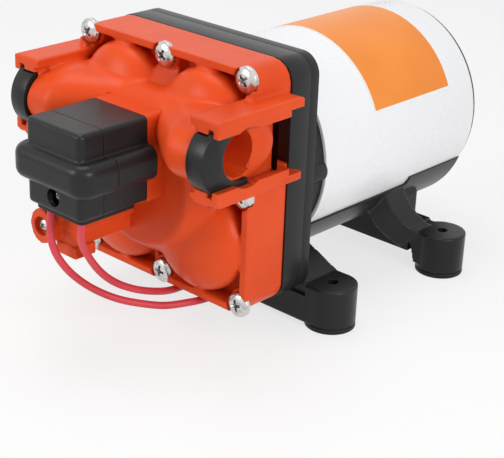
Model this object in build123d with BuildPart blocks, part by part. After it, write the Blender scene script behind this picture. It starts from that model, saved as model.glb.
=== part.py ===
from build123d import *
import math
import os

# A caravan water pump, in millimetres. X runs across, Y from the pump head back along the
# motor, Z up. The origin is the middle of the four feet, on the surface they stand on.

# Whole pump
feet_to_rim = 84.0
axis_z = 63.0
rim_y = -feet_to_rim
overrun = 1.0
running_clearance = 0.05
seat_clearance = 0.2

# Lengths of the stack behind the rim of the head
head_depth = 21.5
housing_depth = 10.5
drive_depth = 4.8
flange_depth = 12.8
magnet_start = 10.4
magnet_length = 58.0
brush_ring_setback = 6.0
brush_ring_length = 14.0
rear_space = 14.0
brush_ring_start = magnet_start + magnet_length + brush_ring_setback
sleeve_length = brush_ring_start + brush_ring_length + rear_space
bell_depth = 3.5
head_back_y = rim_y + head_depth
housing_back_y = head_back_y + housing_depth
drive_back_y = housing_back_y + drive_depth
flange_back_y = drive_back_y + flange_depth
sleeve_back_y = flange_back_y + sleeve_length
bell_back_y = sleeve_back_y + bell_depth

# Round sizes of the motor
can_radius = 42.3
can_wall = 2.0
sleeve_thickness = 1.2
sleeve_radius = can_radius + sleeve_thickness

# Outline that the head and the two black plates share
head_width = 94.2
head_height = 98.6
head_bottom = 16.2
head_corner = 8.5
plate_margin = 0.5
head_mid_z = head_bottom + head_height / 2

# Head: walls, floor and the space for the valve plate
head_wall = 3.2
head_floor_depth = 8.5
head_floor_thickness = 4.5
valve_space_y = rim_y + head_floor_depth + head_floor_thickness
valve_space_radius = 37.0
inlet_groove_inner = 16.0
inlet_groove_outer = 33.5
inlet_groove_depth = 2.0
head_rib = 2.0
head_rib_setback = 1.2

# Head: central disc and domes
disc_radius = 33.0
disc_face_radius = 28.0
disc_shoulder = 6.0
disc_rise = 13.0
upper_dome_x = 22.5
upper_dome_up = 25.0
upper_dome_radius = 20.0
upper_dome_height = 9.5
upper_hollow_x = 20.5
upper_hollow_up = 26.5
upper_hollow_radius = 15.5
upper_hollow_height = 6.5
lower_dome_x = 21.0
lower_dome_down = 23.0
lower_dome_radius = 22.0
lower_dome_shoulder = 2.0
lower_dome_height = 7.0
dome_wall = 2.5

# Head: ports, galleries and the rails of the clips
port_up = 22.3
port_forward = 10.0
port_z = head_mid_z + port_up
port_y = rim_y - port_forward
port_radius = 9.0
port_depth = 22.0
port_stand = 3.4
port_face_x = head_width / 2 + port_stand
boss_radius = 20.0
boss_length = 17.5
boss_inner_x = port_face_x - boss_length
boss_half_height = 16.8
bridge_radius = 13.0
bridge_forward = 3.0
bridge_half_length = 13.0
bridge_y = rim_y - bridge_forward
gallery_radius = 4.0
gallery_forward = 6.0
gallery_reach = 2.0
gallery_drop_x = 6.0
sensing_radius = 9.0
rail_front = 26.0
rail_back = 19.5
rail_lip = 3.0
rail_slot = 2.5
rail_lip_half = 10.1
rail_slot_half = 12.8
rail_outer_half = 16.3
rail_overlap = 8.5
rail_root_x = port_face_x - rail_overlap
rail_arc_radius = 11.5
side_pocket_depth = 10.5
side_pocket_x = port_face_x - side_pocket_depth
side_pocket_start = 12.0

# Clips
clip_radius = 14.0
clip_band = 2.5
clip_band_half = 10.3
clip_fork_radius = 9.7
clip_fork_setback = 6.5
clip_fork_half = 9.4
clip_arm = 10.0
clip_travel = 7.0
clip_clearance = 0.15
band_clearance = 0.3
neck_length = 6.5
neck_x = port_face_x - neck_length
neck_cut_back = 4.4
neck_cut_margin = 0.7

# Head screws
screw_side_inset = 4.6
screw_end_inset = 4.0
screw_x = head_width / 2 - screw_side_inset
screw_rise = head_height / 2 - screw_end_inset
screw_boss_radius = 6.0
screw_seat = 3.0
screw_head_radius = 5.25
screw_head_height = 3.2
screw_head_dome = 0.8
screw_radius = 1.9
screw_hole_clearance = 0.15
screw_length = 32.0
cross_width = 1.1
cross_span = 5.2
cross_depth = 1.8

# Valve plate and valves
chamber_pitch = 15.0
chamber_radius = 14.0
chamber_depth = 4.5
inlet_port_radius = 1.3
inlet_port_ring = 4.0
umbrella_radius = 6.5
umbrella_thickness = 1.1
umbrella_stem = 1.4
umbrella_stem_setback = 0.6
outlet_port_radius = 1.5
outlet_port_ring = 9.5
outlet_valve_radius = 12.0
outlet_valve_thickness = 1.2
outlet_recess_depth = 2.2
outlet_stem = 2.0
outlet_stem_length = 4.0
inner_seal_radius = 13.3
outer_seal_radius = 34.6
seal_width = 1.7
seal_depth = 1.5

# Diaphragm and the wobbling drive
wobble_tilt = 2.5
wobble_centre_back = 32.0
wobble_y = rim_y + wobble_centre_back
diaphragm_thickness = 2.0
diaphragm_disc_radius = 13.5
diaphragm_hole_radius = 12.5
housing_web = 2.0
housing_cavity_radius = 36.0
drive_cavity_radius = 34.0
piston_head_radius = 11.0
piston_head_thickness = 2.0
pad_radius = 10.0
pad_length = 4.0
wobble_radius = 32.0
wobble_thickness = 3.5
hub_radius = 14.5
hub_length = 8.0
hub_floor = 1.0
bearing_radius = 11.0
bearing_width = 7.0
bearing_lip = 1.6
shaft_radius = 4.0
spigot_gap = 0.3
cam_radius = 9.0
cam_front_back = 36.5
cam_length = 7.0
cam_socket = 5.0
piston_screw_radius = 2.0
piston_screw_head_radius = 3.6
piston_screw_head = 1.2
piston_screw_grip = 8.5

# Motor front flange
flange_step = 0.3
flange_radius = can_radius - flange_step
flange_plate = 4.0
flange_pocket_radius = 16.0
flange_pocket_depth = 7.7
flange_shell = 3.0
flange_hub_radius = 18.0
bearing_boss_radius = 14.5
bearing_end_wall = 1.0
bearing_hole_radius = 5.5
flange_screw_inset = 4.0
flange_screw_ring = flange_radius - flange_screw_inset
flange_screw_radius = 1.7
flange_screw_head_radius = 3.2
flange_screw_head = 2.6
flange_screw_length = 11.0
flange_screw_boss = 3.8
side_boss_inset = 2.4
side_boss_x = flange_radius - side_boss_inset
side_boss_radius = 4.6
side_boss_setback = 1.5

# Motor body
bell_radius = sleeve_radius
rear_boss_inset = 12.3
rear_boss_radius = can_radius - rear_boss_inset
rear_boss_depth = 5.5
rear_boss_round = 2.0
rear_bearing_wall = 3.5
rear_spigot_depth = 2.0
magnet_thickness = 8.3
magnet_half_angle = 58.0
upright_angle = 90.0
label_start = 33.4
label_length = 52.5
label_half_angle = 68.0
label_thickness = 0.2
label_gap = 0.05
tie_bolt_inset = 5.8
tie_bolt_x = can_radius - tie_bolt_inset
tie_bolt_radius = 2.0
tie_bolt_head_radius = 3.6
tie_bolt_head = 3.0
tie_bolt_grip = 4.0

# Rotor and brushes
air_gap = 1.0
rotor_radius = can_radius - can_wall - magnet_thickness - air_gap
rotor_setback = 6.0
rotor_start = magnet_start + rotor_setback
rotor_shortfall = 10.0
rotor_length = magnet_length - rotor_shortfall
winding_inset = 3.0
winding_radius = rotor_radius - winding_inset
winding_inner = 7.0
winding_overhang = 9.0
slot_count = 12
slot_radius = 2.5
slot_inset = 6.0
slot_ring = rotor_radius - slot_inset
slot_mouth = 1.6
commutator_radius = 11.0
commutator_setback = 2.0
commutator_start = brush_ring_start + commutator_setback
commutator_length = 11.5
commutator_slit = 0.5
commutator_slit_depth = 1.0
shaft_front_back = 38.5
brush_ring_inner = 14.0
brush_length = 11.0
brush_width = 8.0
brush_thickness = 6.0
brush_gap = 0.3
brush_slot_inset = 9.3
brush_slot_end = can_radius - brush_slot_inset
brush_spring_radius = 2.7
brush_spring_bore = 1.8
strap_inset = 10.1
strap_radius = can_radius - strap_inset
strap_thickness = 1.5
strap_width = 3.0
strap_angle = 22.0
strap_start = 7.4

# Base bracket
cradle_inset = 6.5
cradle_half_width = sleeve_radius - cradle_inset
foot_reach = 16.0
foot_x = cradle_half_width + foot_reach
foot_y = 38.0
foot_radius = 10.5
foot_height = 19.0
pad_height = 2.0
pad_flare = 0.4
foot_hole_radius = 2.5
leg_width = 20.0
cradle_wall = 3.5
cradle_start = 0.6
cradle_shortfall = 0.4
cradle_length = sleeve_length - cradle_shortfall
rear_leg_rise = 8.5
rear_leg_step_inset = 10.6
rear_leg_step_x = foot_x - rear_leg_step_inset
rear_leg_step = 4.5
front_leg_inset = 25.0
front_leg_inner_x = foot_x - front_leg_inset
leg_top_inset = 8.5
leg_top_x = foot_x - leg_top_inset
leg_hollow_radius = 26.0
cradle_rim_drop = 25.0
base_screw_front = 20.0
base_screw_rear_inset = 12.4
base_screw_rear = sleeve_length - base_screw_rear_inset
base_screw_radius = 1.8
base_screw_head_radius = 3.6
base_screw_head = 2.4
base_screw_gap = 0.3

# Lead grommet and leads
grommet_half = 10.0
grommet_setback = 4.0
grommet_length = 5.4
grommet_depth = 9.0
grommet_stand = 0.6
lead_radius = 1.5
lead_exit_x = 8.6
lead_entry_x = 5.0

# Routes of the two leads, from the box to the grommet, chosen point by point
outer_lead_points = [
    (-8.6, -132.0, 60.0), (-8.6, -132.0, 56.0), (-6.8, -133.4, 50.6), (-3.8, -132.8, 44.2),
    (-1.8, -129.3, 37.4), (-1.0, -123.4, 30.4), (1.2, -116.6, 24.0), (5.6, -109.4, 19.0),
    (10.6, -101.6, 16.0), (15.1, -95.0, 14.3), (18.9, -87.4, 13.9), (20.4, -79.0, 13.0),
    (19.2, -69.5, 12.0), (15.6, -60.5, 10.6), (10.8, -53.5, 9.0), (7.0, -47.6, 8.9),
    (5.3, -43.0, 11.6), (5.0, -40.5, 15.8), (5.0, -40.5, 20.4),
]
inner_lead_points = [
    (8.6, -132.0, 60.0), (8.6, -132.0, 56.2), (6.6, -130.9, 51.2), (4.5, -127.6, 45.4),
    (3.6, -123.0, 38.0), (3.4, -117.6, 31.0), (4.3, -111.2, 25.2), (6.2, -103.6, 20.8),
    (7.4, -95.6, 17.6), (7.0, -86.0, 14.3), (5.6, -76.0, 12.6), (2.6, -66.5, 11.0),
    (-1.0, -58.0, 9.3), (-3.8, -50.5, 8.4), (-4.9, -44.6, 10.2), (-5.0, -40.5, 15.0),
    (-5.0, -40.5, 20.4),
]
lead_bend_share = 0.45

# Pressure switch: box
switch_half_width = 15.3
switch_bottom = 61.5
switch_height = 33.6
switch_front = 53.9
switch_rear = 24.5
switch_split = 42.3
switch_wall = 2.0
switch_corner = 2.0
roll_height = 9.5
roll_reach = 4.2
roll_bottom_up = 13.7
roll_corner = 4.4
roll_edge = 4.0
screw_window_radius = 3.6
lip_depth = 1.5
lip_sink = 0.3
lip_clearance = 0.1

# Pressure switch: bracket
base_margin = 0.8
arm_left_x = 15.0
arm_right_x = 1.0
arm_top = 57.0
arm_bottom = 42.5
arm_front = 43.0
lug_z = 49.5
lug_radius = 7.0
lug_front = 48.0
lug_length = 8.0
lug_bore_radius = 3.6
lug_bore_depth = 2.0
tail_left_x = 12.0
tail_bottom = 38.5
tail_length = 10.0
base_screw_x = 12.0
base_screw_up = 20.5
small_screw_radius = 1.5
small_screw_head_radius = 3.0
small_screw_head = 2.0
small_screw_grip = 19.0
lug_screw_length = 14.0
small_cross_width = 0.9
small_cross_span = 3.6
small_cross_depth = 1.0

# Pressure switch: working parts
switch_axis_z = 67.4
switch_diaphragm_radius = 13.0
switch_diaphragm_thickness = 1.5
switch_piston_radius = 8.0
switch_piston_pocket = 9.0
switch_piston_gap = 0.2
switch_piston_head = 2.0
switch_travel = 1.2
switch_stem_radius = 3.5
switch_stem_end = 30.5
actuator_thickness = 1.2
actuator_radius = 5.0
actuator_half_width = 3.0
actuator_top_up = 15.0
micro_front = 44.0
micro_rear = 33.3
micro_half_width = 10.0
micro_bottom_up = 7.6
micro_height = 10.0
button_radius = 1.2
button_up = 11.6
button_gap = 0.3
button_length = 3.0
button_socket = 1.2
spring_radius = 4.1
spring_bore = 3.1
adjust_radius = 3.3
adjust_front = 50.5
adjust_rear = 41.0
adjust_slot_width = 1.0
adjust_slot_depth = 1.6
frame_half_width = 13.0
frame_margin = 0.4
frame_thickness = 2.0
frame_boss_radius = 5.5
frame_boss_front = 50.0
frame_post_radius = 1.8
frame_post_x = 11.0
frame_post_up = 29.8
terminal_width = 3.0
terminal_thickness = 0.8
terminal_forward = 48.0
terminal_top_up = 10.0
terminal_sink = 0.5


# Planes and simple bars that every sub-part uses

def across(y, x=0.0, z=axis_z):
    """An upright plane across the pump that faces forward."""
    return Plane(origin=(x, y, z), x_dir=(1, 0, 0), z_dir=(0, -1, 0))


def tilted(y, x=0.0, z=0.0):
    """The same plane on the tilted axis of the wobble plate, x and z counted from that axis."""
    tilt = math.radians(wobble_tilt)
    along = y - wobble_y
    origin = (
        x,
        wobble_y + along * math.cos(tilt) - z * math.sin(tilt),
        axis_z + along * math.sin(tilt) + z * math.cos(tilt),
    )
    return Plane(origin=origin, x_dir=(1, 0, 0), z_dir=(0, -math.cos(tilt), -math.sin(tilt)))


def beside(x, y, z):
    """An upright plane along the pump that faces right: its first direction is Y, its second Z."""
    return Plane(origin=(x, y, z), x_dir=(0, 1, 0), z_dir=(1, 0, 0))


def rod(radius, y0, y1, x=0.0, z=axis_z, bore=0.0, place=across, mode=Mode.ADD):
    """A round bar or tube along the pump from y0 back to y1."""
    with BuildSketch(place(y0, x, z)) as end:
        Circle(radius)
        if bore:
            Circle(bore, mode=Mode.SUBTRACT)
    extrude(end.sketch, amount=y0 - y1, mode=mode)


def bar(radius, start, direction, length, mode=Mode.ADD):
    """A round bar from a point in any direction."""
    with BuildSketch(Plane(origin=start, z_dir=direction)) as end:
        Circle(radius)
    extrude(end.sketch, amount=length, mode=mode)


def slab(x_range, y_range, z_range, mode=Mode.ADD):
    """A block between two X, two Y and two Z values."""
    (x0, x1), (y0, y1), (z0, z1) = x_range, y_range, z_range
    with BuildSketch(Plane.XY.offset(z0)) as end:
        with Locations(((x0 + x1) / 2, (y0 + y1) / 2)):
            Rectangle(abs(x1 - x0), abs(y1 - y0))
    extrude(end.sketch, amount=z1 - z0, mode=mode)


def outline_block(width, y0, y1, wall=0.0, mode=Mode.ADD):
    """The round-cornered outline of the head, drawn in by a wall."""
    with BuildSketch(across(y0, z=head_mid_z)) as end:
        RectangleRounded(width - 2 * wall, head_height - 2 * wall, head_corner - wall)
    extrude(end.sketch, amount=y0 - y1, mode=mode)


def dome(radius, height, x, z, y_shoulder, y_root, mode=Mode.ADD):
    """A round boss from y_root forward to y_shoulder with a shallow cap in front."""
    cap_radius = (radius**2 + height**2) / (2 * height)
    half = math.asin(radius / cap_radius) / 2
    middle = (cap_radius * math.sin(half), cap_radius - height - cap_radius * math.cos(half))
    with BuildSketch(Plane(origin=(x, y_shoulder, z), x_dir=(1, 0, 0), z_dir=(0, 0, 1))) as half_view:
        with BuildLine():
            ThreePointArc((0, -height), middle, (radius, 0))
            Polyline((radius, 0), (radius, y_root - y_shoulder), (0, y_root - y_shoulder), (0, -height))
        make_face()
    revolve(half_view.sketch, Axis((x, 0, z), (0, 1, 0)), mode=mode)


def finish(part, name):
    """Name a finished sub-part and write it."""
    part.label = name
    export_step(part, f"parts/{name}.step")


def pair(first):
    """A value and its mirror image."""
    return (-first, first)


def head_screw_places():
    """The eight screw centres round the rim: three above, three below and one at each side."""
    places = []
    for x in (-screw_x, 0, screw_x):
        for z in (head_mid_z - screw_rise, head_mid_z, head_mid_z + screw_rise):
            if x or z != head_mid_z:
                places.append((x, z))
    return places


def chamber_places():
    """The four pumping chambers, counted from the motor axis."""
    return [(x, z) for x in pair(chamber_pitch) for z in pair(chamber_pitch)]


def pan_screw(x, y, z, radius, length, head_radius, head, cross):
    """A pan-head cross screw whose head starts at y and whose shank runs back from there."""
    width, span, depth = cross
    rod(radius, y, y + length, x, z)
    rod(head_radius, y - head + screw_head_dome, y, x, z)
    with BuildSketch(across(y - head + screw_head_dome, x, z)) as crown:
        Circle(head_radius)
    extrude(crown.sketch, amount=screw_head_dome, taper=45)
    front = y - head - overrun
    with BuildSketch(across(front, x, z)) as recess:
        Rectangle(span, width)
        Rectangle(width, span)
    extrude(recess.sketch, amount=-(overrun + depth), mode=Mode.SUBTRACT)


def make_pump_head():
    floor_y = rim_y + head_floor_depth
    with BuildPart() as head:
        outline_block(head_width, rim_y, head_back_y)
        outline_block(head_width, rim_y - overrun, floor_y, head_wall, Mode.SUBTRACT)
        # Ribs from the walls to the domes
        for x in pair(upper_dome_x):
            slab(
                (x - head_rib / 2, x + head_rib / 2),
                (rim_y + head_rib_setback, floor_y + overrun),
                (head_mid_z + upper_dome_up, head_bottom + head_height - head_wall / 2),
            )
        for x in pair(lower_dome_x):
            slab(
                (x - head_rib / 2, x + head_rib / 2),
                (rim_y + head_rib_setback, floor_y + overrun),
                (head_bottom + head_wall / 2, head_mid_z - lower_dome_down),
            )
            lower_rib_z = head_mid_z - lower_dome_down
            slab(
                (x, math.copysign(head_width / 2 - head_wall / 2, x)),
                (rim_y + head_rib_setback, floor_y + overrun),
                (lower_rib_z - head_rib / 2, lower_rib_z + head_rib / 2),
            )
        # Screw bosses, cut to the outline at the corners
        with BuildSketch(across(rim_y + screw_seat)) as bosses:
            with Locations([(x, z - axis_z) for x, z in head_screw_places()]):
                Circle(screw_boss_radius)
            with Locations((0, head_mid_z - axis_z)):
                RectangleRounded(head_width, head_height, head_corner, mode=Mode.INTERSECT)
        extrude(bosses.sketch, amount=-(head_floor_depth - screw_seat + overrun))
        # Central disc with its bevelled shoulder
        rod(disc_radius, rim_y - disc_shoulder, floor_y + overrun, z=head_mid_z)
        with BuildSketch(across(rim_y - disc_shoulder, z=head_mid_z)) as shoulder:
            Circle(disc_radius)
        bevel = math.degrees(math.atan2(disc_radius - disc_face_radius, disc_rise - disc_shoulder))
        extrude(shoulder.sketch, amount=disc_rise - disc_shoulder, taper=bevel)
        # Four domes
        for x in pair(upper_dome_x):
            dome(upper_dome_radius, upper_dome_height, x, head_mid_z + upper_dome_up, rim_y, floor_y + overrun)
        for x in pair(lower_dome_x):
            dome(
                lower_dome_radius, lower_dome_height, x, head_mid_z - lower_dome_down,
                rim_y - lower_dome_shoulder, floor_y + overrun,
            )
        # Bridge between the ports, then their bosses with the rails, left and right
        bar(bridge_radius, (-bridge_half_length, bridge_y, port_z), (1, 0, 0), 2 * bridge_half_length)
        for side in (-1, 1):
            add_port(side)
        # Space for the valve plate, the inlet groove and the hollow domes
        rod(valve_space_radius, valve_space_y, head_back_y + overrun, mode=Mode.SUBTRACT)
        rod(
            inlet_groove_outer, valve_space_y - inlet_groove_depth, valve_space_y,
            bore=inlet_groove_inner, mode=Mode.SUBTRACT,
        )
        dome(
            upper_hollow_radius, upper_hollow_height, -upper_hollow_x,
            head_mid_z + upper_hollow_up, rim_y, valve_space_y, Mode.SUBTRACT,
        )
        for x in pair(lower_dome_x):
            dome(
                lower_dome_radius - dome_wall - inlet_groove_depth, lower_dome_height - dome_wall, x,
                head_mid_z - lower_dome_down, rim_y - lower_dome_shoulder, valve_space_y, Mode.SUBTRACT,
            )
        # Galleries: the inlet opens into its dome, the outlet drops to the sensing chamber
        gallery_y = rim_y - gallery_forward
        bore_end_x = port_face_x - port_depth
        bar(
            gallery_radius, (-bore_end_x - overrun, gallery_y + gallery_radius / 2, port_z), (1, 0, 0),
            bore_end_x - upper_hollow_x + overrun, Mode.SUBTRACT,
        )
        bar(
            gallery_radius, (gallery_reach, gallery_y, port_z), (1, 0, 0),
            bore_end_x - gallery_reach + overrun, Mode.SUBTRACT,
        )
        bar(
            gallery_radius, (gallery_drop_x, gallery_y, port_z), (0, 0, -1),
            port_z - switch_axis_z, Mode.SUBTRACT,
        )
        rod(sensing_radius, rim_y - disc_rise - overrun, valve_space_y + overrun, z=switch_axis_z, mode=Mode.SUBTRACT)
        # Seat of the switch bracket and of the switch diaphragm
        slab(
            pair(switch_half_width - base_margin + seat_clearance), (rim_y - switch_front, rim_y - disc_rise),
            (
                switch_bottom - base_margin - seat_clearance,
                switch_bottom + switch_height - base_margin + seat_clearance,
            ), Mode.SUBTRACT,
        )
        rod(
            switch_diaphragm_radius + seat_clearance, rim_y - disc_rise - overrun,
            rim_y - disc_rise + switch_diaphragm_thickness, z=switch_axis_z, mode=Mode.SUBTRACT,
        )
        # Screw holes, with room for the heads in the walls
        for x, z in head_screw_places():
            rod(
                screw_radius + screw_hole_clearance, rim_y - overrun, head_back_y + overrun, x, z,
                mode=Mode.SUBTRACT,
            )
            rod(
                screw_head_radius + screw_hole_clearance, rim_y - overrun, rim_y + screw_seat, x, z,
                mode=Mode.SUBTRACT,
            )
        for x in pair(base_screw_x):
            rod(
                small_screw_radius, rim_y - disc_rise - overrun,
                rim_y - switch_rear + small_screw_head + small_screw_grip, x,
                switch_bottom + base_screw_up, mode=Mode.SUBTRACT,
            )
    finish(head.part, "pump_head")


def add_port(side):
    """One port boss with its bore, clip slot, rails and the step that clears the clip's band."""
    outward = (side, 0, 0)
    with BuildSketch(beside(side * boss_inner_x, port_y, port_z)) as mouth:
        Ellipse(boss_radius, boss_half_height)
    extrude(mouth.sketch, amount=side * boss_length)
    with BuildSketch(beside(side * bridge_half_length, bridge_y, port_z)) as root:
        Circle(bridge_radius)
    loft([root.sketch.face(), mouth.sketch.face()])
    # Rails: an inner wall on the boss and a lip beyond the slot
    rail_y = (rim_y - rail_front, rim_y + rail_back)
    lip_x = side * (port_face_x + rail_slot)
    outer_x = side * (port_face_x + rail_slot + rail_lip)
    for up in (-1, 1):
        outer_z = port_z + up * rail_outer_half
        slot_z = port_z + up * rail_slot_half
        lip_z = port_z + up * rail_lip_half
        slab((side * rail_root_x, outer_x), rail_y, (min(slot_z, outer_z), max(slot_z, outer_z)))
        slab((lip_x, outer_x), rail_y, (min(lip_z, outer_z), max(lip_z, outer_z)))
        slab(
            (side * neck_x, side * port_face_x), (rim_y - rail_front, port_y),
            (min(lip_z, outer_z), max(lip_z, outer_z)),
        )
    # Step in front of the neck, where the band of the clip slides
    neck_radius = clip_radius - clip_band - band_clearance
    with BuildSketch(beside(side * neck_x, port_y, port_z)) as step:
        with Locations((-(boss_radius + overrun + neck_cut_back) / 2, 0)):
            Rectangle(boss_radius + overrun - neck_cut_back, 2 * (clip_band_half + neck_cut_margin))
        Circle(neck_radius, mode=Mode.SUBTRACT)
    extrude(step.sketch, amount=side * (port_face_x - neck_x + overrun), mode=Mode.SUBTRACT)
    # Slot that the clip plate slides in
    with BuildSketch(beside(side * port_face_x, port_y, port_z)) as slot:
        Rectangle(2 * (rail_front + rail_back), 2 * rail_slot_half)
    extrude(slot.sketch, amount=side * rail_slot, mode=Mode.SUBTRACT)
    # Round relief of the lips about the bore
    bar(
        rail_arc_radius, (lip_x - side * overrun, port_y, port_z), outward,
        rail_lip + 2 * overrun, Mode.SUBTRACT,
    )
    # The side of the head is open between the rails
    slab(
        (side * side_pocket_x, outer_x), (rim_y + side_pocket_start, head_back_y + overrun),
        (port_z - rail_slot_half, port_z + rail_slot_half), Mode.SUBTRACT,
    )
    bar(port_radius, (side * (port_face_x - port_depth), port_y, port_z), outward, port_depth + overrun, Mode.SUBTRACT)


def make_head_screws():
    with BuildPart() as screws:
        for x, z in head_screw_places():
            pan_screw(
                x, rim_y + screw_seat, z, screw_radius, screw_length, screw_head_radius,
                screw_head_height, (cross_width, cross_span, cross_depth),
            )
    finish(screws.part, "head_screws")


def make_clip(side, name):
    """The sliding clip in its open place: a forked plate in the slot and a curved thumb band."""
    clip_y = port_y - clip_travel
    plate_x = port_face_x + clip_clearance
    plate_thickness = rail_slot - 2 * clip_clearance
    plate_half = rail_slot_half - 2 * clip_clearance
    band_x = neck_x + neck_cut_margin
    with BuildPart() as clip:
        with BuildSketch(beside(side * plate_x, clip_y, port_z)):
            Circle(clip_radius)
            with Locations((clip_arm / 2, 0)):
                Rectangle(clip_arm, 2 * clip_radius)
            Rectangle(2 * (clip_radius + clip_arm), 2 * plate_half, mode=Mode.INTERSECT)
            with Locations((clip_fork_setback, 0)):
                Circle(clip_fork_radius, mode=Mode.SUBTRACT)
            with Locations((clip_fork_setback + clip_arm, 0)):
                Rectangle(2 * clip_arm, 2 * clip_fork_half, mode=Mode.SUBTRACT)
        extrude(amount=side * plate_thickness)
        with BuildSketch(beside(side * band_x, clip_y, port_z)):
            Circle(clip_radius)
            with Locations((-clip_radius / 2 - clip_band, 0)):
                Rectangle(clip_radius + 2 * clip_band, 2 * clip_band_half, mode=Mode.INTERSECT)
            Circle(clip_radius - clip_band, mode=Mode.SUBTRACT)
        extrude(amount=side * (plate_x + plate_thickness - band_x))
    finish(clip.part, name)


def make_valve_plate():
    recess_y = valve_space_y + outlet_recess_depth
    chamber_y = head_back_y - chamber_depth
    with BuildPart() as plate:
        rod(valve_space_radius - seat_clearance, valve_space_y, head_back_y)
        for x, z in chamber_places():
            rod(chamber_radius, chamber_y, head_back_y + overrun, x, axis_z + z, mode=Mode.SUBTRACT)
            rod(
                umbrella_stem + running_clearance, valve_space_y - overrun, chamber_y + overrun, x,
                axis_z + z, mode=Mode.SUBTRACT,
            )
            with BuildSketch(across(valve_space_y - overrun, x, axis_z + z)):
                with PolarLocations(inlet_port_ring, 4):
                    Circle(inlet_port_radius)
            extrude(amount=-(chamber_y - valve_space_y + 2 * overrun), mode=Mode.SUBTRACT)
            reach = outlet_port_ring / math.hypot(x, z)
            rod(
                outlet_port_radius, recess_y - overrun, chamber_y + overrun, x * reach,
                axis_z + z * reach, mode=Mode.SUBTRACT,
            )
        rod(outlet_valve_radius + seat_clearance, valve_space_y - overrun, recess_y, mode=Mode.SUBTRACT)
        rod(outlet_stem + running_clearance, recess_y - overrun, head_back_y + overrun, mode=Mode.SUBTRACT)
        for radius in (inner_seal_radius, outer_seal_radius):
            rod(
                radius + seal_width, valve_space_y - overrun, valve_space_y + seal_depth, bore=radius,
                mode=Mode.SUBTRACT,
            )
    finish(plate.part, "valve_plate")


def make_valves_and_seals():
    chamber_y = head_back_y - chamber_depth
    with BuildPart() as inlet:
        for x, z in chamber_places():
            rod(umbrella_radius, chamber_y, chamber_y + umbrella_thickness, x, axis_z + z)
            rod(umbrella_stem, valve_space_y + umbrella_stem_setback, chamber_y + umbrella_thickness, x, axis_z + z)
    finish(inlet.part, "inlet_valves")
    recess_y = valve_space_y + outlet_recess_depth
    with BuildPart() as outlet:
        rod(outlet_valve_radius, recess_y - outlet_valve_thickness, recess_y)
        rod(outlet_stem, recess_y - outlet_valve_thickness, recess_y + outlet_stem_length)
    finish(outlet.part, "outlet_valve")
    with BuildPart() as seals:
        for radius in (inner_seal_radius, outer_seal_radius):
            rod(radius + seal_width, valve_space_y, valve_space_y + seal_depth, bore=radius)
    finish(seals.part, "valve_seals")


def make_diaphragm():
    back_y = head_back_y + diaphragm_thickness
    with BuildPart() as diaphragm:
        rod(valve_space_radius, head_back_y, back_y)
        for x, z in chamber_places():
            rod(diaphragm_hole_radius, head_back_y - overrun, back_y + overrun, x, axis_z + z, mode=Mode.SUBTRACT)
        for x, z in chamber_places():
            rod(diaphragm_disc_radius, head_back_y, back_y, x, z, place=tilted)
        for x, z in chamber_places():
            rod(
                piston_screw_radius, head_back_y - overrun, back_y + overrun, x, z, place=tilted,
                mode=Mode.SUBTRACT,
            )
    finish(diaphragm.part, "diaphragm")


def make_diaphragm_housing():
    web_y = head_back_y + diaphragm_thickness
    with BuildPart() as housing:
        outline_block(head_width + 2 * plate_margin, head_back_y, housing_back_y)
        rod(valve_space_radius, head_back_y - overrun, web_y, mode=Mode.SUBTRACT)
        rod(housing_cavity_radius, web_y + housing_web, housing_back_y + overrun, mode=Mode.SUBTRACT)
        for x, z in chamber_places():
            rod(chamber_radius, web_y - overrun, web_y + housing_web + overrun, x, axis_z + z, mode=Mode.SUBTRACT)
        for x, z in head_screw_places():
            rod(
                screw_radius + screw_hole_clearance, head_back_y - overrun, housing_back_y + overrun, x, z,
                mode=Mode.SUBTRACT,
            )
    finish(housing.part, "diaphragm_housing")


def flange_screw_places():
    """Four places on the diagonals behind the diaphragm housing, counted from the motor axis."""
    reach = flange_screw_ring / math.sqrt(2)
    return [(x, z) for x in pair(reach) for z in pair(reach)]


def make_drive_housing():
    screw_end_y = rim_y + screw_seat + screw_length
    with BuildPart() as housing:
        outline_block(head_width + 2 * plate_margin, housing_back_y, drive_back_y)
        rod(drive_cavity_radius, housing_back_y - overrun, drive_back_y + overrun, mode=Mode.SUBTRACT)
        for x, z in head_screw_places():
            rod(screw_radius, housing_back_y - overrun, screw_end_y, x, z, mode=Mode.SUBTRACT)
        for x, z in flange_screw_places():
            rod(
                flange_screw_head_radius + seat_clearance, housing_back_y - overrun,
                housing_back_y + flange_screw_head, x, axis_z + z, mode=Mode.SUBTRACT,
            )
            rod(flange_screw_radius, housing_back_y, drive_back_y + overrun, x, axis_z + z, mode=Mode.SUBTRACT)
    finish(housing.part, "drive_housing")


def make_flange_screws():
    seat_y = housing_back_y + flange_screw_head
    with BuildPart() as screws:
        for x, z in flange_screw_places():
            pan_screw(
                x, seat_y, axis_z + z, flange_screw_radius, flange_screw_length,
                flange_screw_head_radius, flange_screw_head,
                (small_cross_width, small_cross_span, small_cross_depth),
            )
    finish(screws.part, "flange_screws")


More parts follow.
